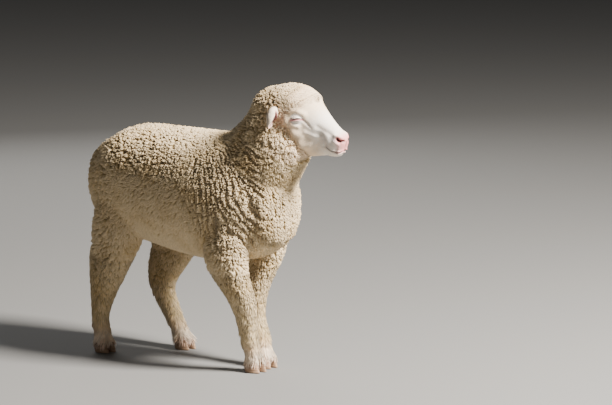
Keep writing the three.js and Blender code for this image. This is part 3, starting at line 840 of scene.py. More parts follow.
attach(skin, "root")
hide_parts("torso", "neck", "head", "tail", "ear_left", "ear_right",
            *(f"leg_{name}" for name in FOOT))
print("skin:", len(skin.data.polygons), "faces")

# %% [markdown]
# ## Eyes
#
# An eyeball is a ball whose front bulges a little more, as a cornea does. The iris and the wide
# flat pupil are drawn by its material, from two amounts on its vertices.

# %% Eyeballs
def eyeball(side, around=64, along=48):
    """Rings from the back of the eye to its front: radius 14 mm with a cornea 1.2 mm proud."""
    turn = np.linspace(0.02, np.pi - 0.02, along)[:, None]
    angle = np.arange(around) * 2 * np.pi / around
    radius = EYEBALL - 0.4 + 1.2 * np.exp(-(((np.pi - turn) / 0.42) ** 2))
    gaze = GAZE * [1, side, 1]
    right = np.cross(gaze, [0, 0, 1])
    right /= np.linalg.norm(right)
    up = np.cross(right, gaze)
    a, b = radius * np.sin(turn) * np.cos(angle), radius * np.sin(turn) * np.sin(angle)
    c = -radius * np.cos(turn) + 0 * angle
    place = EYE * [1, side, 1]
    points = place + a[..., None] * -right + b[..., None] * up + c[..., None] * gaze
    iris = smoothstep(np.hypot(a, b), 9.4, 8.4) * (c > 0)
    pupil = smoothstep(np.hypot(a / 4.6, b / 1.9), 1.1, 0.9) * (c > 0)
    return points, np.stack([iris, pupil, 0 * iris, 0 * iris], -1)


def make_eye(name, side):
    """One eyeball in place of its node."""
    grid, marks = eyeball(side)
    q, t = tube_faces(len(grid), grid.shape[1])
    eye = new_object(f"eyeball_{name}", new_mesh(
        f"eyeball_{name}", to_frame(off_head(closed(grid))), q, t))
    set_colours(eye.data, "marking", closed(marks))
    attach(eye, "root")
    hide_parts(f"eye_{name}")
    return eye


eyes = [make_eye("left", 1), make_eye("right", -1)]
print("eyes:", len(eyes))

# %% [markdown]
# ## Claws
#
# Each half of a split hoof is a short lofted block: flat below, straight on the inner side, rounded
# outside and pointed in front. Two small dewclaws hang behind the pastern.

# %% Claws
def claw_grid(foot, side, around=48, along=28):
    """Rings of one claw from its coronet to the ground: squared ovals that narrow to a point in
    front, are flatter on the inner side, and draw in a little at the sole."""
    fx, fy = foot
    t = np.linspace(0, 1, along)[:, None]
    angle = np.arange(around) * 2 * np.pi / around
    ahead, aside = np.cos(angle), np.sin(angle)
    sole = np.sqrt(np.clip(1 - smoothstep(t, 0.93, 1.0) * 0.25, 0, 1))
    long_front = (22 + 6 * t) * sole
    long_back = 19.5 * sole
    wide = (11.3 + 1.0 * np.sin(t * 2.4)) * sole
    taper = 1 - 0.42 * np.clip(ahead, 0, 1) ** 1.6
    reach = np.where(ahead > 0, long_front, long_back)
    x = fx - 3 + 5 * t + reach * np.sign(ahead) * np.abs(ahead) ** 0.85
    flat_inner = np.where(aside * side < 0, 0.88, 1.0)
    y = fy + side * HALF_FOOT + wide * taper * flat_inner * np.sign(aside) * np.abs(aside) ** 0.8
    y = y - side * 2.2 * np.clip(ahead, 0, 1) ** 2 * t
    z = np.maximum(26.5 * (1 - t), 0) + 0 * x
    rings_of_growth = 0.22 * np.sin(t * 34) * np.sin(np.pi * t)
    x = x + rings_of_growth * ahead
    y = y + rings_of_growth * aside
    return np.stack([x, y, z], -1)[:, ::-1]


def make_claw(foot_name, side):
    """One claw in place of its node: the inner one lies towards the middle of the animal."""
    own_side = 1 if foot_name.endswith("left") else -1
    name = f"claw_{foot_name}_{'outer' if side == own_side else 'inner'}"
    grid = claw_grid(FOOT[foot_name], side)
    q, t = tube_faces(len(grid), grid.shape[1])
    claw = new_object(name.replace("claw", "horn"), new_mesh(name, to_frame(closed(grid)), q, t))
    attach(claw, "root")
    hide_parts(name)
    return claw


def make_dewclaws(foot_name, around=24, along=16, half_wide=5.5, half_high=8):
    """The two small horns behind a pastern, each an egg."""
    x, y, z = LIMBS[foot_name][-1, :3]
    turn = np.linspace(0.05, np.pi - 0.05, along)[:, None]
    angle = np.arange(around) * 2 * np.pi / around
    wide = half_wide * np.sin(turn) * (1 - 0.2 * np.cos(turn) ** 3)
    egg = np.stack([
        wide * np.cos(angle), wide * np.sin(angle), -half_high * np.cos(turn) + 0 * angle], -1)
    pair = [closed(egg + [x - 24, y + 9 * side, z + 12]) for side in (-1, 1)]
    faces = [tube_faces(along, around, start) for start in (0, len(pair[0]))]
    horn = new_object(f"dewclaws_{foot_name}", new_mesh(
        f"dewclaws_{foot_name}", to_frame(np.concatenate(pair)),
        *(np.concatenate(run) for run in zip(*faces))))
    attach(horn, "root")
    return horn


claws = [make_claw(name, side) for name in FOOT for side in (-1, 1)]
claws += [make_dewclaws(name) for name in FOOT]
print("claws:", len(claws))

# %% [markdown]
# ## The fleece
#
# A lock is a short tapering tube that leaves the skin at its root and leans over in the way the
# coat lies. Thousands of them overlap into a fleece. First the skin is read back as triangles,
# with normals, unwrap and markings at their corners, so that any place on it can be a root.

# %% Read the skin as triangles
skin.data.calc_loop_triangles()


corner = read(skin.data.loop_triangles, "vertices", 3, np.int32)
corner_uv = read(skin.data.uv_layers["OFBake"].data, "uv", 2)[
    read(skin.data.loop_triangles, "loops", 3, np.int32)]
skin_normals = read(skin.data.vertices, "normal", 3).astype(float)
triangle = skin_points[corner]
area = 0.5 * np.linalg.norm(
    np.cross(triangle[:, 1] - triangle[:, 0], triangle[:, 2] - triangle[:, 0]), axis=1)
middle = triangle.mean(1)
print("skin area:", round(area.sum() / 1e6, 2), "square metres")

# %% [markdown]
# Parts of the coat are told apart by where they lie: on the head's own axes, or along the animal.
# The distance up the neck is x cos 56 + z sin 56, since the neck rises at 56 degrees. The rough
# skin below the fine face grows nothing, nor does the inside of an ear.

# %% Parts of the coat
rng = np.random.default_rng(7)
NECK_RISE = math.radians(56)
NECK_WAY = np.array([math.cos(NECK_RISE), 0.0, math.sin(NECK_RISE)])
TRUNK_WAY = np.array([1.0, 0.0, 0.2])


def up_neck(points):
    """Distance along the neck's axis, in millimetres."""
    return points[..., 0] * NECK_WAY[0] + points[..., 2] * NECK_WAY[2]


def nearest_of(places, points):
    """For each point, the index of the place that is nearest to it."""
    tree = KDTree(len(places))
    for index, place in enumerate(places):
        tree.insert(place, index)
    tree.balance()
    return np.array([tree.find(point)[1] for point in points])


local = on_head(middle)
in_front = past_edge(local)
headed = (local[:, 0] > -95) & (local[:, 2] > -100) & (middle[:, 0] > HEAD_FROM)
on_ear = corner[:, 0] >= len(body_vertices) + len(face_vertices)
on_face = (corner[:, 0] >= len(body_vertices)) & ~on_ear
left = middle[:, 1] > 0
part_of = np.select(
    [on_ear, headed & (in_front > -6), headed & (local[:, 0] > -48) & (local[:, 2] > 2),
     headed & (local[:, 1] < 0), headed, up_neck(middle) > 562,
     middle[:, 2] < 270, middle[:, 0] > 70, middle[:, 0] < -200],
    ["ears", "velvet", "topknot", "head_right", "head_left", "neck",
     np.where(middle[:, 0] > -60, "legs_front", "legs_hind"),
     np.where(left, "shoulder_left", "shoulder_right"),
     np.where(left, "rump_left", "rump_right")],
    np.where(left, "barrel_left", "barrel_right"))

# Rough skin in front of the edge grows wool only where it stands outside the fine face.
bare_parts = ~on_face & (part_of == "velvet")
rough_front = np.flatnonzero(bare_parts)
nearest = nearest_of(face_vertices, middle[rough_front])
outside = middle[rough_front] - face_vertices[nearest]
outside = (outside * skin_normals[len(body_vertices) + nearest]).sum(1) > -1.0
kept = rough_front[outside]
part_of[kept] = np.where(local[kept, 1] < 0, "head_right", "head_left")
bare_parts[kept] = False
bare_parts |= on_face & ((in_front < -11) | (in_front > 26))  # velvet is a band at the edge
bare_parts |= on_face & (np.linalg.norm(to_left(local) - EYE, axis=1) < 19)  # the lids
bare_parts |= on_ear & (skin_marks[corner[:, 0], 1] > 0.2)  # the pink inside of an ear
bare_parts |= middle[:, 2] < CORONET
part_of[bare_parts] = "nothing"


CELLS = 8192  # more grid cells than the animal is long, so that no two cells share a number


def scatter(name, spacing):
    """Roots about `spacing` apart on one part of the skin. Many are drawn evenly over its area,
    and then one is kept in each cell of two grids that are half a cell apart."""
    mine = np.flatnonzero(part_of == name)
    weight = area[mine]
    count = int(6 * weight.sum() / spacing**2)
    pick = mine[rng.choice(len(mine), count, p=weight / weight.sum())]
    a, b = rng.random((2, count))
    a, b = np.where(a + b > 1, 1 - a, a), np.where(a + b > 1, 1 - b, b)
    share = np.stack([1 - a - b, a, b], 1)[..., None]
    at = (share * triangle[pick]).sum(1)
    keep = np.arange(count)
    for shift in (0.0, 0.5):
        cell = np.floor(at[keep] / spacing + shift).astype(np.int64) + CELLS // 2
        _, first = np.unique(cell @ np.array([1, CELLS, CELLS**2]), return_index=True)
        keep = keep[first]
    out = (share * skin_normals[corner[pick]]).sum(1)[keep]
    return {
        "at": at[keep],
        "out": out / np.linalg.norm(out, axis=1, keepdims=True),
        "uv": (share * corner_uv[pick]).sum(1)[keep],
        "mark": (share * skin_marks[corner[pick]]).sum(1)[keep],
    }


def wander(points, period, seed):
    """A smooth field that wanders between about -2 and 2, mostly within 1 of zero: the scaled sum
    of five waves that run in seeded directions."""
    draw = np.random.default_rng(seed)
    waves = draw.normal(size=(5, 3))
    waves /= np.linalg.norm(waves, axis=1, keepdims=True)
    phase = points @ waves.T * (2 * np.pi / period) + draw.uniform(0, 2 * np.pi, 5)
    return np.sin(phase).sum(1) / 2.2


print({str(name): int((part_of == name).sum()) for name in np.unique(part_of)})

# %% [markdown]
# The lie of the coat follows the body: back and down on the trunk, down and back on the neck, down
# the legs, forward over the forehead, towards the nose on the face and towards the tip on an ear.

# %% How the coat lies
def coat_lie(points, out, on_ears):
    """Unit vectors along the skin in the way the coat lies: a direction for each part of the
    body, blended from one to the next and then laid flat on the skin."""
    local = on_head(points)
    side = np.sign(local[:, [1]])
    ahead = points[:, 0] > HEAD_FROM
    lie = np.array([[-0.40, 0.0, -1.0]])
    for amount, way in (
        (smoothstep(up_neck(points), 520, 590), np.array([-0.55, 0.0, -0.85])),
        (smoothstep(points[:, 2], 330, 260), np.array([-0.1, 0.0, -1.0])),
        (smoothstep(local[:, 0], -110, -70) * ahead, np.array([-0.25, 0.0, -1.0]) @ HEAD_TURN.T),
        (smoothstep(local[:, 0], -60, -20) * smoothstep(local[:, 2], 25, 50) * ahead,
         np.array([0.95, 0.0, -0.2]) @ HEAD_TURN.T),
        (bareness(points), np.array([0.95, 0.0, -0.3]) @ HEAD_TURN.T),
        (np.full(len(points), float(on_ears)),
         (np.array([0.25, 0.9, -0.35]) * np.concatenate([1 + 0 * side, side, 1 + 0 * side], 1))
         @ HEAD_TURN.T),
    ):
        lie = lie * (1 - amount[:, None]) + way * amount[:, None]
    lie = lie - out * (lie * out).sum(1, keepdims=True)
    return lie / np.maximum(np.linalg.norm(lie, axis=1, keepdims=True), 1e-6)


# %% [markdown]
# The fleece differs over the body. It curls and parts most on the back, rump, neck and head, is
# matted smooth on the flank and the front of the chest, and is straight and short on the lower
# legs. On the neck and shoulder it lies in rows with cracks between them. The rows fan out from a
# point above the withers, so they run across the neck and turn steeper towards the shoulder.

# %% How the coat varies
FAN_X, FAN_Z, FAN_STEP = 75.0, 680.0, 0.068  # the point above the withers, and the turn per row


def curliness(points):
    """1 where the wool curls into small knots, and little on the flank, thighs, legs and cap."""
    x, z = points[..., 0], points[..., 2]
    upper = smoothstep(z, 400, 550)
    ahead = smoothstep(x, 40, 130) * smoothstep(z, 300, 380)
    return (0.1 + 0.9 * np.maximum(upper, 0.7 * ahead)) * (1 - 0.8 * on_cap(points))


def looseness(points):
    """1 where staples part widely, as on the back, about 0.7 on the rump and head, and down to 0.1
    on the flank and the front of the chest, whose wool is matted smooth."""
    x, z = points[..., 0], points[..., 2]
    head = 0.7 * smoothstep(z, 590, 640) * smoothstep(x, 180, 240)
    back = smoothstep(z, 470, 560) * smoothstep(x, 60, -60)
    rump = 0.75 * smoothstep(x, -190, -260)
    leg = 0.45 * smoothstep(z, 330, 250)
    ahead = 0.55 * smoothstep(x, 20, 110)
    smooth = smoothstep(x, 238, 268) * smoothstep(z, 600, 540) + on_cap(points)
    return np.clip(0.1 + 0.9 * np.maximum.reduce([head, back, rump, leg, ahead]) - smooth, 0.1, 1)


def in_rows(points):
    """For each point, the way to the middle of its row, how far it lies from there towards the
    crack, from 0 to 1, and how plainly the rows show."""
    x, z = points[:, 0] - FAN_X, points[:, 2] - FAN_Z
    far = np.hypot(x, z)
    turn = np.arctan2(z, x) / FAN_STEP + 0.5 * wander(points, 95, 1) + 0.16 * wander(points, 40, 2)
    off = turn % 1 - 0.5
    way = np.stack([z, 0 * x, -x], 1) * (off * FAN_STEP)[:, None]
    plain = smoothstep(points[:, 0], 30, 120) * smoothstep(far, 80, 150)
    local = on_head(points)
    plain *= 1 - smoothstep(local[:, 0], -120, -85) * smoothstep(local[:, 2], -125, -90)
    plain *= 1 - 0.8 * smoothstep(points[:, 0], 240, 275) * smoothstep(points[:, 2], 620, 560)
    plain *= smoothstep(points[:, 2], 300, 360) * smoothstep(wander(points, 70, 3), -1.5, -0.3)
    return way, 2 * np.abs(off), plain


# %% [markdown]
# All locks of a part are built at once. The centre line turns away from the normal by an angle
# that grows along it, and the plane that it turns in twists a little, so a lock bends over towards
# its tip. Locks are gathered into staples: each leans to the middle of its staple, shares part of
# its bend, and stands lower towards the staple's edge, which leaves the fine net of cracks that a
# fleece has. A lock's length is set so that it reaches as high as the coat is deep there. Light
# falls on a fleece as on a soft surface, so the normals of a lock are turned from those of its
# tube towards that of its staple, which is round like a pebble.

# %% Grow locks
def gathered(points, out, name, spacing):
    """For each root, the way to the middle of its staple along the skin, how near it lies to the
    staple's edge, and three draws that the staple shares. Distances count half along a staple's
    long way: down the trunk, and round the neck."""
    middles = scatter(name, spacing)["at"]
    axis = NECK_WAY if name == "neck" else TRUNK_WAY
    nearest = nearest_of(*(0.5 * (p + (p @ axis)[:, None] * axis) for p in (middles, points)))
    pull = middles[nearest] - points
    edge = np.minimum(np.linalg.norm(pull, axis=1) / spacing, 1) ** 2.5
    way, off, plain = in_rows(points)
    pull = pull + (way - pull) * (0.8 * plain)[:, None]
    edge = edge + (np.maximum(smoothstep(off, 0.35, 1.0), 0.35 * edge) - edge) * plain
    pull -= out * (pull * out).sum(1, keepdims=True)
    return pull, edge, plain, rng.normal(0, 1, (len(middles), 3))[nearest]


LAST_RING = 0.86  # where along a lock its last ring stands, behind the tip
PATCH_HALF = 0.0015  # half the width of a lock's patch on the unwrap
# The width of a lock at its three rings, beside its greatest width.
BLUNT, POINTED = np.array([0.75, 1.0, 0.75]), np.array([0.75, 0.95, 0.4])


def make_locks(name, root, centre, step, flat, radius, tone_and_crack_shade, soft, soft_way, sides, thickness):
    """One mesh of tubes along the centre lines `centre`, whose directions are `step` and whose
    breadth lies along `flat`. Each tube ends in a point, has its patch on the skin's unwrap where
    its root is, and carries the skin's markings there. Its normals are turned by the share `soft`
    from those of a tube to `soft_way`."""
    n, count = centre.shape[:2]
    s = LAST_RING * np.arange(count) / (count - 1)
    angle = np.pi / 2 - np.arange(sides) * 2 * np.pi / sides
    round_it = (flat[:, :, None] * np.cos(angle)[:, None]
                + thickness * np.cross(flat, step)[:, :, None] * np.sin(angle)[:, None])
    gap = np.linalg.norm(centre[:, -1] - centre[:, -2], axis=1, keepdims=True)
    tip = centre[:, -1] + step[:, -1] * gap * (1 - LAST_RING) / s[1]
    wall = (centre[:, :, None] + radius[..., None, None] * round_it).reshape(n, -1, 3)
    points = np.concatenate([wall, tip[:, None]], 1)
    normals = np.concatenate([round_it.reshape(n, -1, 3), step[:, -1:]], 1)
    normals = normals * (1 - soft) + soft_way[:, None] * soft

    each = count * sides + 1
    first = (np.arange(n) * each)[:, None, None]
    quads, tips = tube_faces(count, sides)
    cap = np.array([(0, k + 1, k) for k in range(1, sides - 1)])
    faces = (cap, quads, tips[sides:] - 1)
    runs = [(kind[None] + first).reshape(-1, kind.shape[1]) for kind in faces]
    mesh = new_mesh(f"fleece_{name}", to_frame(points.reshape(-1, 3)), *runs)
    mesh.normals_split_custom_set_from_vertices(normals.reshape(-1, 3))

    turn, along = np.append(np.tile(angle, count), 0.0), np.append(np.repeat(s, sides), 1.0)
    circle = np.stack([np.cos(turn), np.sin(turn)], 1)
    patch = PATCH_HALF * (1 - 0.97 * along)[:, None] * circle
    uv = (root["uv"][:, None] + patch[None]).reshape(-1, 2)
    order = np.concatenate([run.ravel() for run in runs])
    mesh.uv_layers.new(name="OFBake").data.foreach_set("uv", uv[order].astype(np.float32).ravel())
    strand = np.empty((n, each, 4), np.float32)
    strand[..., :2], strand[..., 2] = circle, along
    # Alpha: the lock's own tone, with painted shade in the cracks between rows.
    strand[..., 3] = np.clip(tone_and_crack_shade, 0, 1)[:, None]
    set_colours(mesh, "strand", strand)
    set_colours(mesh, "marking", np.repeat(root["mark"], each, 0))

    coat = new_object(f"fleece_{name}", mesh)
    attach(coat, "root")
    triangles = len(quads) * 2 + sides + len(cap)
    print(f"{name}: {n} locks, {n * triangles} triangles")
    return coat


def grow(name, spacing, staple, sides=4, height=None, straight=0.0, thickness=0.8,
         breadth=1.65, soft=0.58, lying=70):
    """Locks over one part of the coat, of three rings of `sides` points, about `spacing`
    millimetres apart and gathered into staples `staple` apart. `height` gives the coat's height
    where the part has its own, `straight` takes the curl out of it, `thickness` and `breadth` are
    a lock's depth beside its width and its width beside the spacing, `soft` is how far its normals
    follow the staple, and straight hair leans by `lying` degrees."""
    root = scatter(name, spacing)
    at, out, n = root["at"], root["out"], len(root["at"])
    pull, edge, plain, shared = gathered(at, out, name, staple)
    wool = smoothstep(at[:, 2], 100, 330) * (1 - straight)
    curly = curliness(at) * wool
    loose = np.maximum(looseness(at), plain) * (1 - straight)
    lie = coat_lie(at, out, name == "ears")
    across = np.cross(out, lie)

    s = LAST_RING * np.array([[0.0, 0.5, 1.0]])
    upright = 32 - 10 * loose - 12 * plain + 8 * on_cap(at)
    low = smoothstep(at[:, 2], 60, 34)
    lying = lying - 26 * smoothstep(past_edge(on_head(at)), 16, -4) * (name == "velvet")
    lean = np.radians(lying + (upright - lying) * wool + 6 * shared[:, 0] * (1 - low) - 6 * low)
    lean = lean[:, None]
    curl = 8 + (10 + 16 * curly * (1 - 0.6 * plain) + 6 * shared[:, 1] * loose
                + rng.normal(0, 6, n)) * wool
    curl = np.radians(curl)[:, None]
    swing = (0.12 + 0.45 * curly) * shared[:, 2] + (0.08 + 0.25 * curly) * rng.normal(0, 1, n)
    twist = (0.1 + 0.6 * curly) * (0.8 * shared[:, 0] + rng.normal(0, 0.4, n))
    bend = lean + curl * s**1.5
    way = (swing[:, None] + twist[:, None] * s)[..., None]
    plane = lie[:, None] * np.cos(way) + across[:, None] * np.sin(way)
    step = out[:, None] * np.cos(bend)[..., None] + plane * np.sin(bend)[..., None]
    centre = np.cumsum(0.5 * s[0, 1] * (step[:, :-1] + step[:, 1:]), 1)
    centre = np.concatenate([0 * step[:, :1], centre], 1)
    rise = (centre * out[:, None]).sum(2).max(1)

    depth = pile(at) + 4.5 * low if height is None else height(at)
    depth = depth * (1 - (0.1 + (0.5 + 0.14 * plain) * loose) * np.maximum(wool, 0.3) * edge)
    depth = depth * (1 + rng.uniform(-0.07, 0.03, n) + (0.01 + 0.05 * loose) * shared[:, 1])
    width = spacing * (breadth - 0.2 * curly) * rng.uniform(0.85, 1.15, n)
    width *= (1 - 0.1 * plain * edge) * (0.72 + 0.28 * np.maximum(wool, straight))
    length = np.maximum(depth - 0.3 * width * curly, 0.8) / np.maximum(rise, 0.2)
    length = np.minimum(length, 0.9 * at[:, 2])
    centre = centre * length[:, None, None] + at[:, None] - out[:, None] * 1.0
    gather = (0.15 + 0.4 * loose) * (1 - 0.55 * plain) * (0.35 + 0.65 * wool)
    centre += (pull * gather[:, None])[:, None] * (s**1.2)[..., None]
    profile = POINTED * (1 - wool[:, None]) + BLUNT * wool[:, None]
    pebble = out - pull * (1.6 * loose * edge / staple)[:, None]
    pebble /= np.linalg.norm(pebble, axis=1, keepdims=True)
    # Each lock's own tone, darker with painted shade at the edge of a row, beside its crack.
    tone_and_crack_shade = 0.55 + 0.14 * loose * shared[:, 1] - 0.55 * plain * edge
    tone_and_crack_shade += rng.normal(0, 0.07 + 0.05 * (1 - wool), n)
    return make_locks(name, root, centre, step, np.cross(out[:, None], plane),
                      width[:, None] / 2 * profile, tone_and_crack_shade, soft, pebble, sides, thickness)


# %% [markdown]
# Pale lashes sweep back over the upper lid. Their roots are found on the lids' ball from their
# place along the slit and above it.

# %% Lashes and coat
def lashes(side, each=90, count=5, long=7.5, half_wide=0.3):
    """The lashes of one eye, from the margin of the upper lid and just above it."""
    u = rng.uniform(-14, 3, each)
    v = slit_half(u) + rng.uniform(0.8, 5.0, each)
    u0, v0 = (u - SLIT_BACK)[:, None], (v + lid_line(u))[:, None]
    ball = EYEBALL + LID
    out = (GAZE * np.sqrt(ball**2 - u0**2 - v0**2) + slit_along * u0 + slit_up * v0) / ball
    at = EYE + out * ball
    back = slit_up * rng.normal(-0.12, 0.12, (each, 1)) - slit_along
    back -= out * (back * out).sum(1, keepdims=True)
    back /= np.linalg.norm(back, axis=1, keepdims=True)
    s = (LAST_RING * np.arange(count) / (count - 1))[None, :, None]
    bend = np.radians(58 + 42 * s + rng.normal(0, 4, (each, 1, 1)))
    step = out[:, None] * np.cos(bend) + back[:, None] * np.sin(bend)
    length = (long + rng.normal(0, 1.2, each))[:, None, None]
    centre = at[:, None] + (np.cumsum(step, 1) - step) * length / count
    flat = np.cross(out[:, None], step)
    flat /= side * np.linalg.norm(flat, axis=2, keepdims=True)
    at, centre = (off_head(points * [1, side, 1]) for points in (at, centre))
    step, flat, out = (way * [1, side, 1] @ HEAD_TURN.T for way in (step, flat, out))
    nearest = np.array([np.argmin(((middle - place) ** 2).sum(1)) for place in at])
    root = {"uv": corner_uv[nearest].mean(1), "mark": np.tile([1.0, 0.0, 0.0, 0.3], (each, 1))}
    radius = half_wide * (1 - 0.6 * s[..., 0]) * np.ones((each, 1))
    return make_locks("lashes_left" if side > 0 else "lashes_right", root, centre, step, flat,
                      radius, rng.uniform(0.3, 0.9, each), 0.3, out, 4, 1.0)


def velvet_height(points):
    """Higher towards the fleece, and highest on the tuft of the cap."""
    return 0.4 + 2.2 * smoothstep(past_edge(on_head(points)), 18, -10) + 0.5 * tuft(points)


SHORT_HAIR = {"sides": 3, "straight": 1.0, "thickness": 0.6, "soft": 0.9}
fleece = [
    grow("topknot", 2.1, 6, soft=0.85),
    grow("head_right", 2.9, 8, soft=0.68),
    grow("head_left", 2.9, 8, soft=0.68),
    grow("velvet", 1.8, 6, breadth=0.9, lying=76, height=velvet_height, **SHORT_HAIR),
    grow("ears", 1.8, 6, breadth=0.75, lying=74, height=lambda at: np.full(len(at), 0.9),
         **SHORT_HAIR),
    grow("neck", 3.3, 9),
    *(grow(f"{part}_{side}", 3.6, 8.5) for part in ("shoulder", "barrel", "rump")
      for side in ("right", "left")),
    grow("legs_front", 2.9, 9, sides=3, breadth=1.15),
    grow("legs_hind", 2.9, 9, sides=3, breadth=1.15),
    lashes(1),
    lashes(-1),
]

# %% [markdown]
# ## Materials
#
# Skin and coat share one group of nodes that turns the four markings into a colour, so that hair
# and the skin below it always agree. Small helpers keep the node code short.

# %% Node helpers
def add(tree, kind, inputs=(), **settings):
    """A node with its settings made and its inputs set: a value, or a socket to link from."""
    node = tree.nodes.new(kind)
    for key, value in settings.items():
        setattr(node, key, value)
    for key, value in dict(inputs).items():
        if isinstance(value, bpy.types.NodeSocket):
            tree.links.new(value, node.inputs[key])
        else:
            node.inputs[key].default_value = value
    return node


def mix(tree, factor, a, b):
    """The colour between a and b. A mixing node has its colours at inputs 6 and 7."""
    return add(tree, "ShaderNodeMix", {0: factor, 6: a, 7: b}, data_type="RGBA").outputs[2]


def calculated(tree, operation, *values):
    """The result of one sum on up to three values."""
    return add(tree, "ShaderNodeMath", enumerate(values), operation=operation).outputs[0]


def scaled(tree, value, low, high, to_low=0.0, to_high=1.0):
    """The value mapped from one range to another and kept inside it."""
    node = add(tree, "ShaderNodeMapRange", {
        "Value": value, "From Min": low, "From Max": high, "To Min": to_low, "To Max": to_high})
    return node.outputs["Result"]


def new_group(name, inputs, outputs):
    """An empty node group with these sockets, its input node and its output node."""
    tree = bpy.data.node_groups.new(name, "ShaderNodeTree")
    for direction, sockets in (("INPUT", inputs), ("OUTPUT", outputs)):
        for socket, kind in sockets.items():
            tree.interface.new_socket(socket, in_out=direction, socket_type=f"NodeSocket{kind}")
    return tree, tree.nodes.new("NodeGroupInput"), tree.nodes.new("NodeGroupOutput")


def relief(tree, shader, height, strength, distance):
    """Fine relief on the shader, `distance` metres high."""
    bump = add(tree, "ShaderNodeBump", {
        "Strength": strength, "Distance": distance, "Height": height})
    tree.links.new(bump.outputs["Normal"], shader.inputs["Normal"])


def new_material(name, **constants):
    """A material with its Principled shader, whose plain inputs are set by name."""
    made = bpy.data.materials.new(name)
    made.use_nodes = True
    shader = made.node_tree.nodes["Principled BSDF"]
    for key, value in constants.items():
        shader.inputs[key.replace("_", " ")].default_value = value
    return made, made.node_tree, shader


# %% [markdown]
# Wool is cream, a little browner where dust has settled in it. The hair of the face is white, and
# warmer near the wool. The dark marking is painted shade, and so is part of the grey one.

# %% Colours from the markings
WOOL = (0.71, 0.56, 0.35, 1)
DUSTY_WOOL = (0.56, 0.40, 0.20, 1)
WHITE_HAIR = (0.87, 0.81, 0.74, 1)
WARM_HAIR = (0.88, 0.67, 0.47, 1)
PINK = (0.78, 0.31, 0.30, 1)
# Grey: a patch behind the nostril, and painted shade along the tear groove and the muzzle.
GREY_AND_SHADE = (0.30, 0.28, 0.29, 1)
# Painted shade, put where the dark marking is: nostrils, mouth, lids and the cup of an ear.
SHADE_DARK = (0.07, 0.018, 0.016, 1)

coat_colour, into, out_of = new_group(
    "coat colour", {"Marking": "Color", "Grey and shade": "Float"}, {"Color": "Color", "Bare": "Float"})
place = add(coat_colour, "ShaderNodeTexCoord").outputs["Object"]
broad = add(coat_colour, "ShaderNodeTexNoise", {"Vector": place, "Scale": 14.0, "Detail": 3.0})
fine = add(coat_colour, "ShaderNodeTexNoise", {"Vector": place, "Scale": 240.0, "Detail": 2.0})
split = add(coat_colour, "ShaderNodeSeparateColor", {"Color": into.outputs["Marking"]})
dust = scaled(coat_colour, broad.outputs["Fac"], 0.45, 0.72, 0.0, 0.75)
wool = mix(coat_colour, dust, WOOL, DUSTY_WOOL)
warm = scaled(coat_colour, split.outputs["Red"], 0.55, 1.0, 0.85, 0.0)
speckle = scaled(coat_colour, fine.outputs["Fac"], 0.4, 0.75, 0.0, 0.4)
hair = mix(coat_colour, calculated(coat_colour, "ADD", speckle, warm), WHITE_HAIR, WARM_HAIR)
colour = mix(coat_colour, split.outputs["Red"], wool, hair)
# A grey patch, and painted shade, from the grey marking.
colour = mix(coat_colour, into.outputs["Grey and shade"], colour, GREY_AND_SHADE)
colour = mix(coat_colour, split.outputs["Green"], colour, PINK)
# Painted shade from the dark marking.
colour = mix(coat_colour, split.outputs["Blue"], colour, SHADE_DARK)
coat_colour.links.new(colour, out_of.inputs["Color"])
coat_colour.links.new(split.outputs["Red"], out_of.inputs["Bare"])
print("coat colour nodes:", len(coat_colour.nodes))


def marked(tree):
    """The node that reads the markings, and the one that turns them into a colour."""
    marking = add(tree, "ShaderNodeAttribute", attribute_name="marking")
    return marking, add(tree, "ShaderNodeGroup", {
        "Marking": marking.outputs["Color"], "Grey and shade": marking.outputs["Alpha"]},
        node_tree=coat_colour)


# %% Skin
def skin_material():
    """Short hair over skin: fine bumps, a soft roughness that drops on the wet nose, and painted
    shade that darkens the skin under the wool.
    """
    made, tree, shader = new_material("skin", Roughness=0.75)
    marking, group = marked(tree)
    place = add(tree, "ShaderNodeTexCoord").outputs["Object"]
    # Painted shade: the skin under the wool is darker, so the gaps between locks look shaded.
    shade_under_wool = scaled(tree, group.outputs["Bare"], 0.0, 0.6, 0.4, 1.0)
    tint = add(tree, "ShaderNodeHueSaturation", {
        "Color": group.outputs["Color"], "Value": shade_under_wool})
    tree.links.new(tint.outputs["Color"], shader.inputs["Base Color"])
    combed = add(tree, "ShaderNodeMapping", {
        "Vector": place, "Rotation": (0.0, DIP, YAW), "Scale": (1 / 150, 1 / 700, 1 / 700)},
        vector_type="TEXTURE")
    hairs = add(tree, "ShaderNodeTexNoise", {
        "Vector": combed.outputs["Vector"], "Scale": 1.0, "Detail": 3.0})
    relief(tree, shader, hairs.outputs["Fac"], 0.7, 0.0009)
    split = add(tree, "ShaderNodeSeparateColor", {"Color": marking.outputs["Color"]})
    tree.links.new(scaled(tree, split.outputs["Green"], 0.3, 1.0, 0.8, 0.45),
                   shader.inputs["Roughness"])
    return made


# %% [markdown]
# A lock is darker and browner at its root, partly from dust and partly with painted shade, as
# little light comes there, and pale at its tip. Fine crimped fibres run along it as a bump.

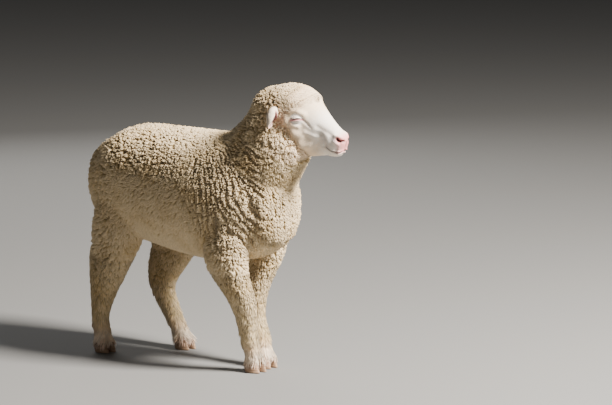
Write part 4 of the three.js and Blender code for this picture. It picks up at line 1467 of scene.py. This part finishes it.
# %% Locks
def lock_material():
    """Crimped wool: a colour that pales along the lock from a root darkened with dust and painted
    shade, differs a little from one lock to the next, and is darker with painted shade in the
    cracks between rows, with fine fibres that wave along it."""
    made, tree, shader = new_material("wool", Roughness=0.9)
    group = marked(tree)[1]
    strand = add(tree, "ShaderNodeAttribute", attribute_name="strand")
    part = add(tree, "ShaderNodeSeparateColor", {"Color": strand.outputs["Color"]})
    across, thick, along = (part.outputs[axis] for axis in ("Red", "Green", "Blue"))
    # Dust and painted shade at the root of a woolly lock.
    root_dust_and_shade = scaled(tree, group.outputs["Bare"], 0.0, 0.5, 0.62, 0.97)
    pale = add(tree, "ShaderNodeMapRange", {
        "Value": along, "From Max": 0.7, "To Min": root_dust_and_shade, "To Max": 1.04}).outputs["Result"]
    # The strand's alpha: each lock's tone, with painted shade in the cracks between rows.
    tone_and_crack_shade = scaled(tree, strand.outputs["Alpha"], 0.0, 1.0, 0.62, 1.24)
    value = calculated(tree, "MULTIPLY", pale, tone_and_crack_shade)
    warm = scaled(tree, along, 0.0, 0.8, 1.35, 0.98)
    tint = add(tree, "ShaderNodeHueSaturation", {
        "Color": group.outputs["Color"], "Value": value, "Saturation": warm})
    tree.links.new(tint.outputs["Color"], shader.inputs["Base Color"])
    crimp = calculated(tree, "SINE", calculated(tree, "MULTIPLY", along, 30.0))
    sway = calculated(tree, "MULTIPLY_ADD", crimp, 0.20, across)
    seed = calculated(tree, "MULTIPLY", strand.outputs["Alpha"], 40.0)
    place = add(tree, "ShaderNodeCombineXYZ", {"X": sway, "Y": thick, "Z": seed})
    fibres = add(tree, "ShaderNodeTexNoise", {
        "Vector": place.outputs["Vector"], "Scale": 4.5, "Detail": 2.0})
    relief(tree, shader, fibres.outputs["Fac"], 0.8, 0.0007)
    return made


# %% Eyes and claws
SCLERA, IRIS, PUPIL = (0.42, 0.09, 0.07, 1), (0.06, 0.03, 0.015, 1), (0.006, 0.006, 0.008, 1)
HORN, DARK_HORN = (0.42, 0.27, 0.17, 1), (0.24, 0.14, 0.085, 1)


def eye_material():
    """A moist eye under a clear coat: dark brown, with a wide black pupil, and red round the iris,
    as shows in the corner of the slit."""
    made, tree, shader = new_material("eye", Roughness=0.12, Coat_Weight=1.0, Coat_Roughness=0.03)
    marking = add(tree, "ShaderNodeAttribute", attribute_name="marking")
    split = add(tree, "ShaderNodeSeparateColor", {"Color": marking.outputs["Color"]})
    ball = mix(tree, split.outputs["Red"], SCLERA, IRIS)
    ball = mix(tree, split.outputs["Green"], ball, PUPIL)
    tree.links.new(ball, shader.inputs["Base Color"])
    return made


def horn_material():
    """Light brown horn with darker growth lines round it."""
    made, tree, shader = new_material("horn", Roughness=0.55)
    place = add(tree, "ShaderNodeTexCoord").outputs["Object"]
    stretch = add(tree, "ShaderNodeMapping", {"Vector": place, "Scale": (30.0, 30.0, 420.0)})
    lines = add(tree, "ShaderNodeTexNoise", {
        "Vector": stretch.outputs["Vector"], "Scale": 1.0, "Detail": 3.0})
    tone = scaled(tree, lines.outputs["Fac"], 0.35, 0.7)
    tree.links.new(mix(tree, tone, HORN, DARK_HORN), shader.inputs["Base Color"])
    relief(tree, shader, lines.outputs["Fac"], 0.6, 0.0006)
    return made


for pieces, finish in (
    ([skin], skin_material()), (fleece, lock_material()), (eyes, eye_material()),
    (claws, horn_material()),
):
    for piece in pieces:
        piece.data.materials.append(finish)
print("materials:", len(bpy.data.materials))

# %% [markdown]
# ## Floor and light
#
# A plain pale floor with a soft studio light from above and in front, two weak ones beside and
# behind, and a pale sky that fills the shadows.

# %% Floor and light
FLOOR_HALF = 12.0
FLOOR_GREY = (0.19, 0.19, 0.187, 1)
LAMP_AWAY = 4.5  # metres from the middle of the animal

floor = new_object("floor", new_mesh(
    "floor", FLOOR_HALF * np.array([(-1, -1, 0), (1, -1, 0), (1, 1, 0), (-1, 1, 0)]),
    np.array([[0, 1, 2, 3]])))
floor.data.materials.append(new_material("floor", Base_Color=FLOOR_GREY, Roughness=0.9)[0])


def soft_light(name, way, size, watts, colour=(1.0, 0.98, 0.95)):
    """A square area light that looks at the middle of the animal."""
    place = AIM + LAMP_AWAY * Vector(way)
    lamp = bpy.data.objects.new(name, bpy.data.lights.new(name, "AREA"))
    lamp.data.size, lamp.data.energy, lamp.data.color = size, watts, colour
    lamp.location = place
    lamp.rotation_euler = (AIM - place).to_track_quat("-Z", "Y").to_euler()
    bpy.context.scene.collection.objects.link(lamp)


soft_light("key", (0.70, 0.18, 0.69), 1.2, 1300, (1.0, 0.94, 0.86))
soft_light("fill", (0.25, -0.90, 0.35), 3.0, 8)
soft_light("back", (-0.80, 0.45, 0.40), 3.0, 70)
world = bpy.data.worlds.new("sky")
bpy.context.scene.world = world
world.use_nodes = True
world.node_tree.nodes["Background"].inputs["Color"].default_value = (0.86, 0.88, 0.90, 1)
world.node_tree.nodes["Background"].inputs["Strength"].default_value = 0.055
print("lights:", len(bpy.data.lights))
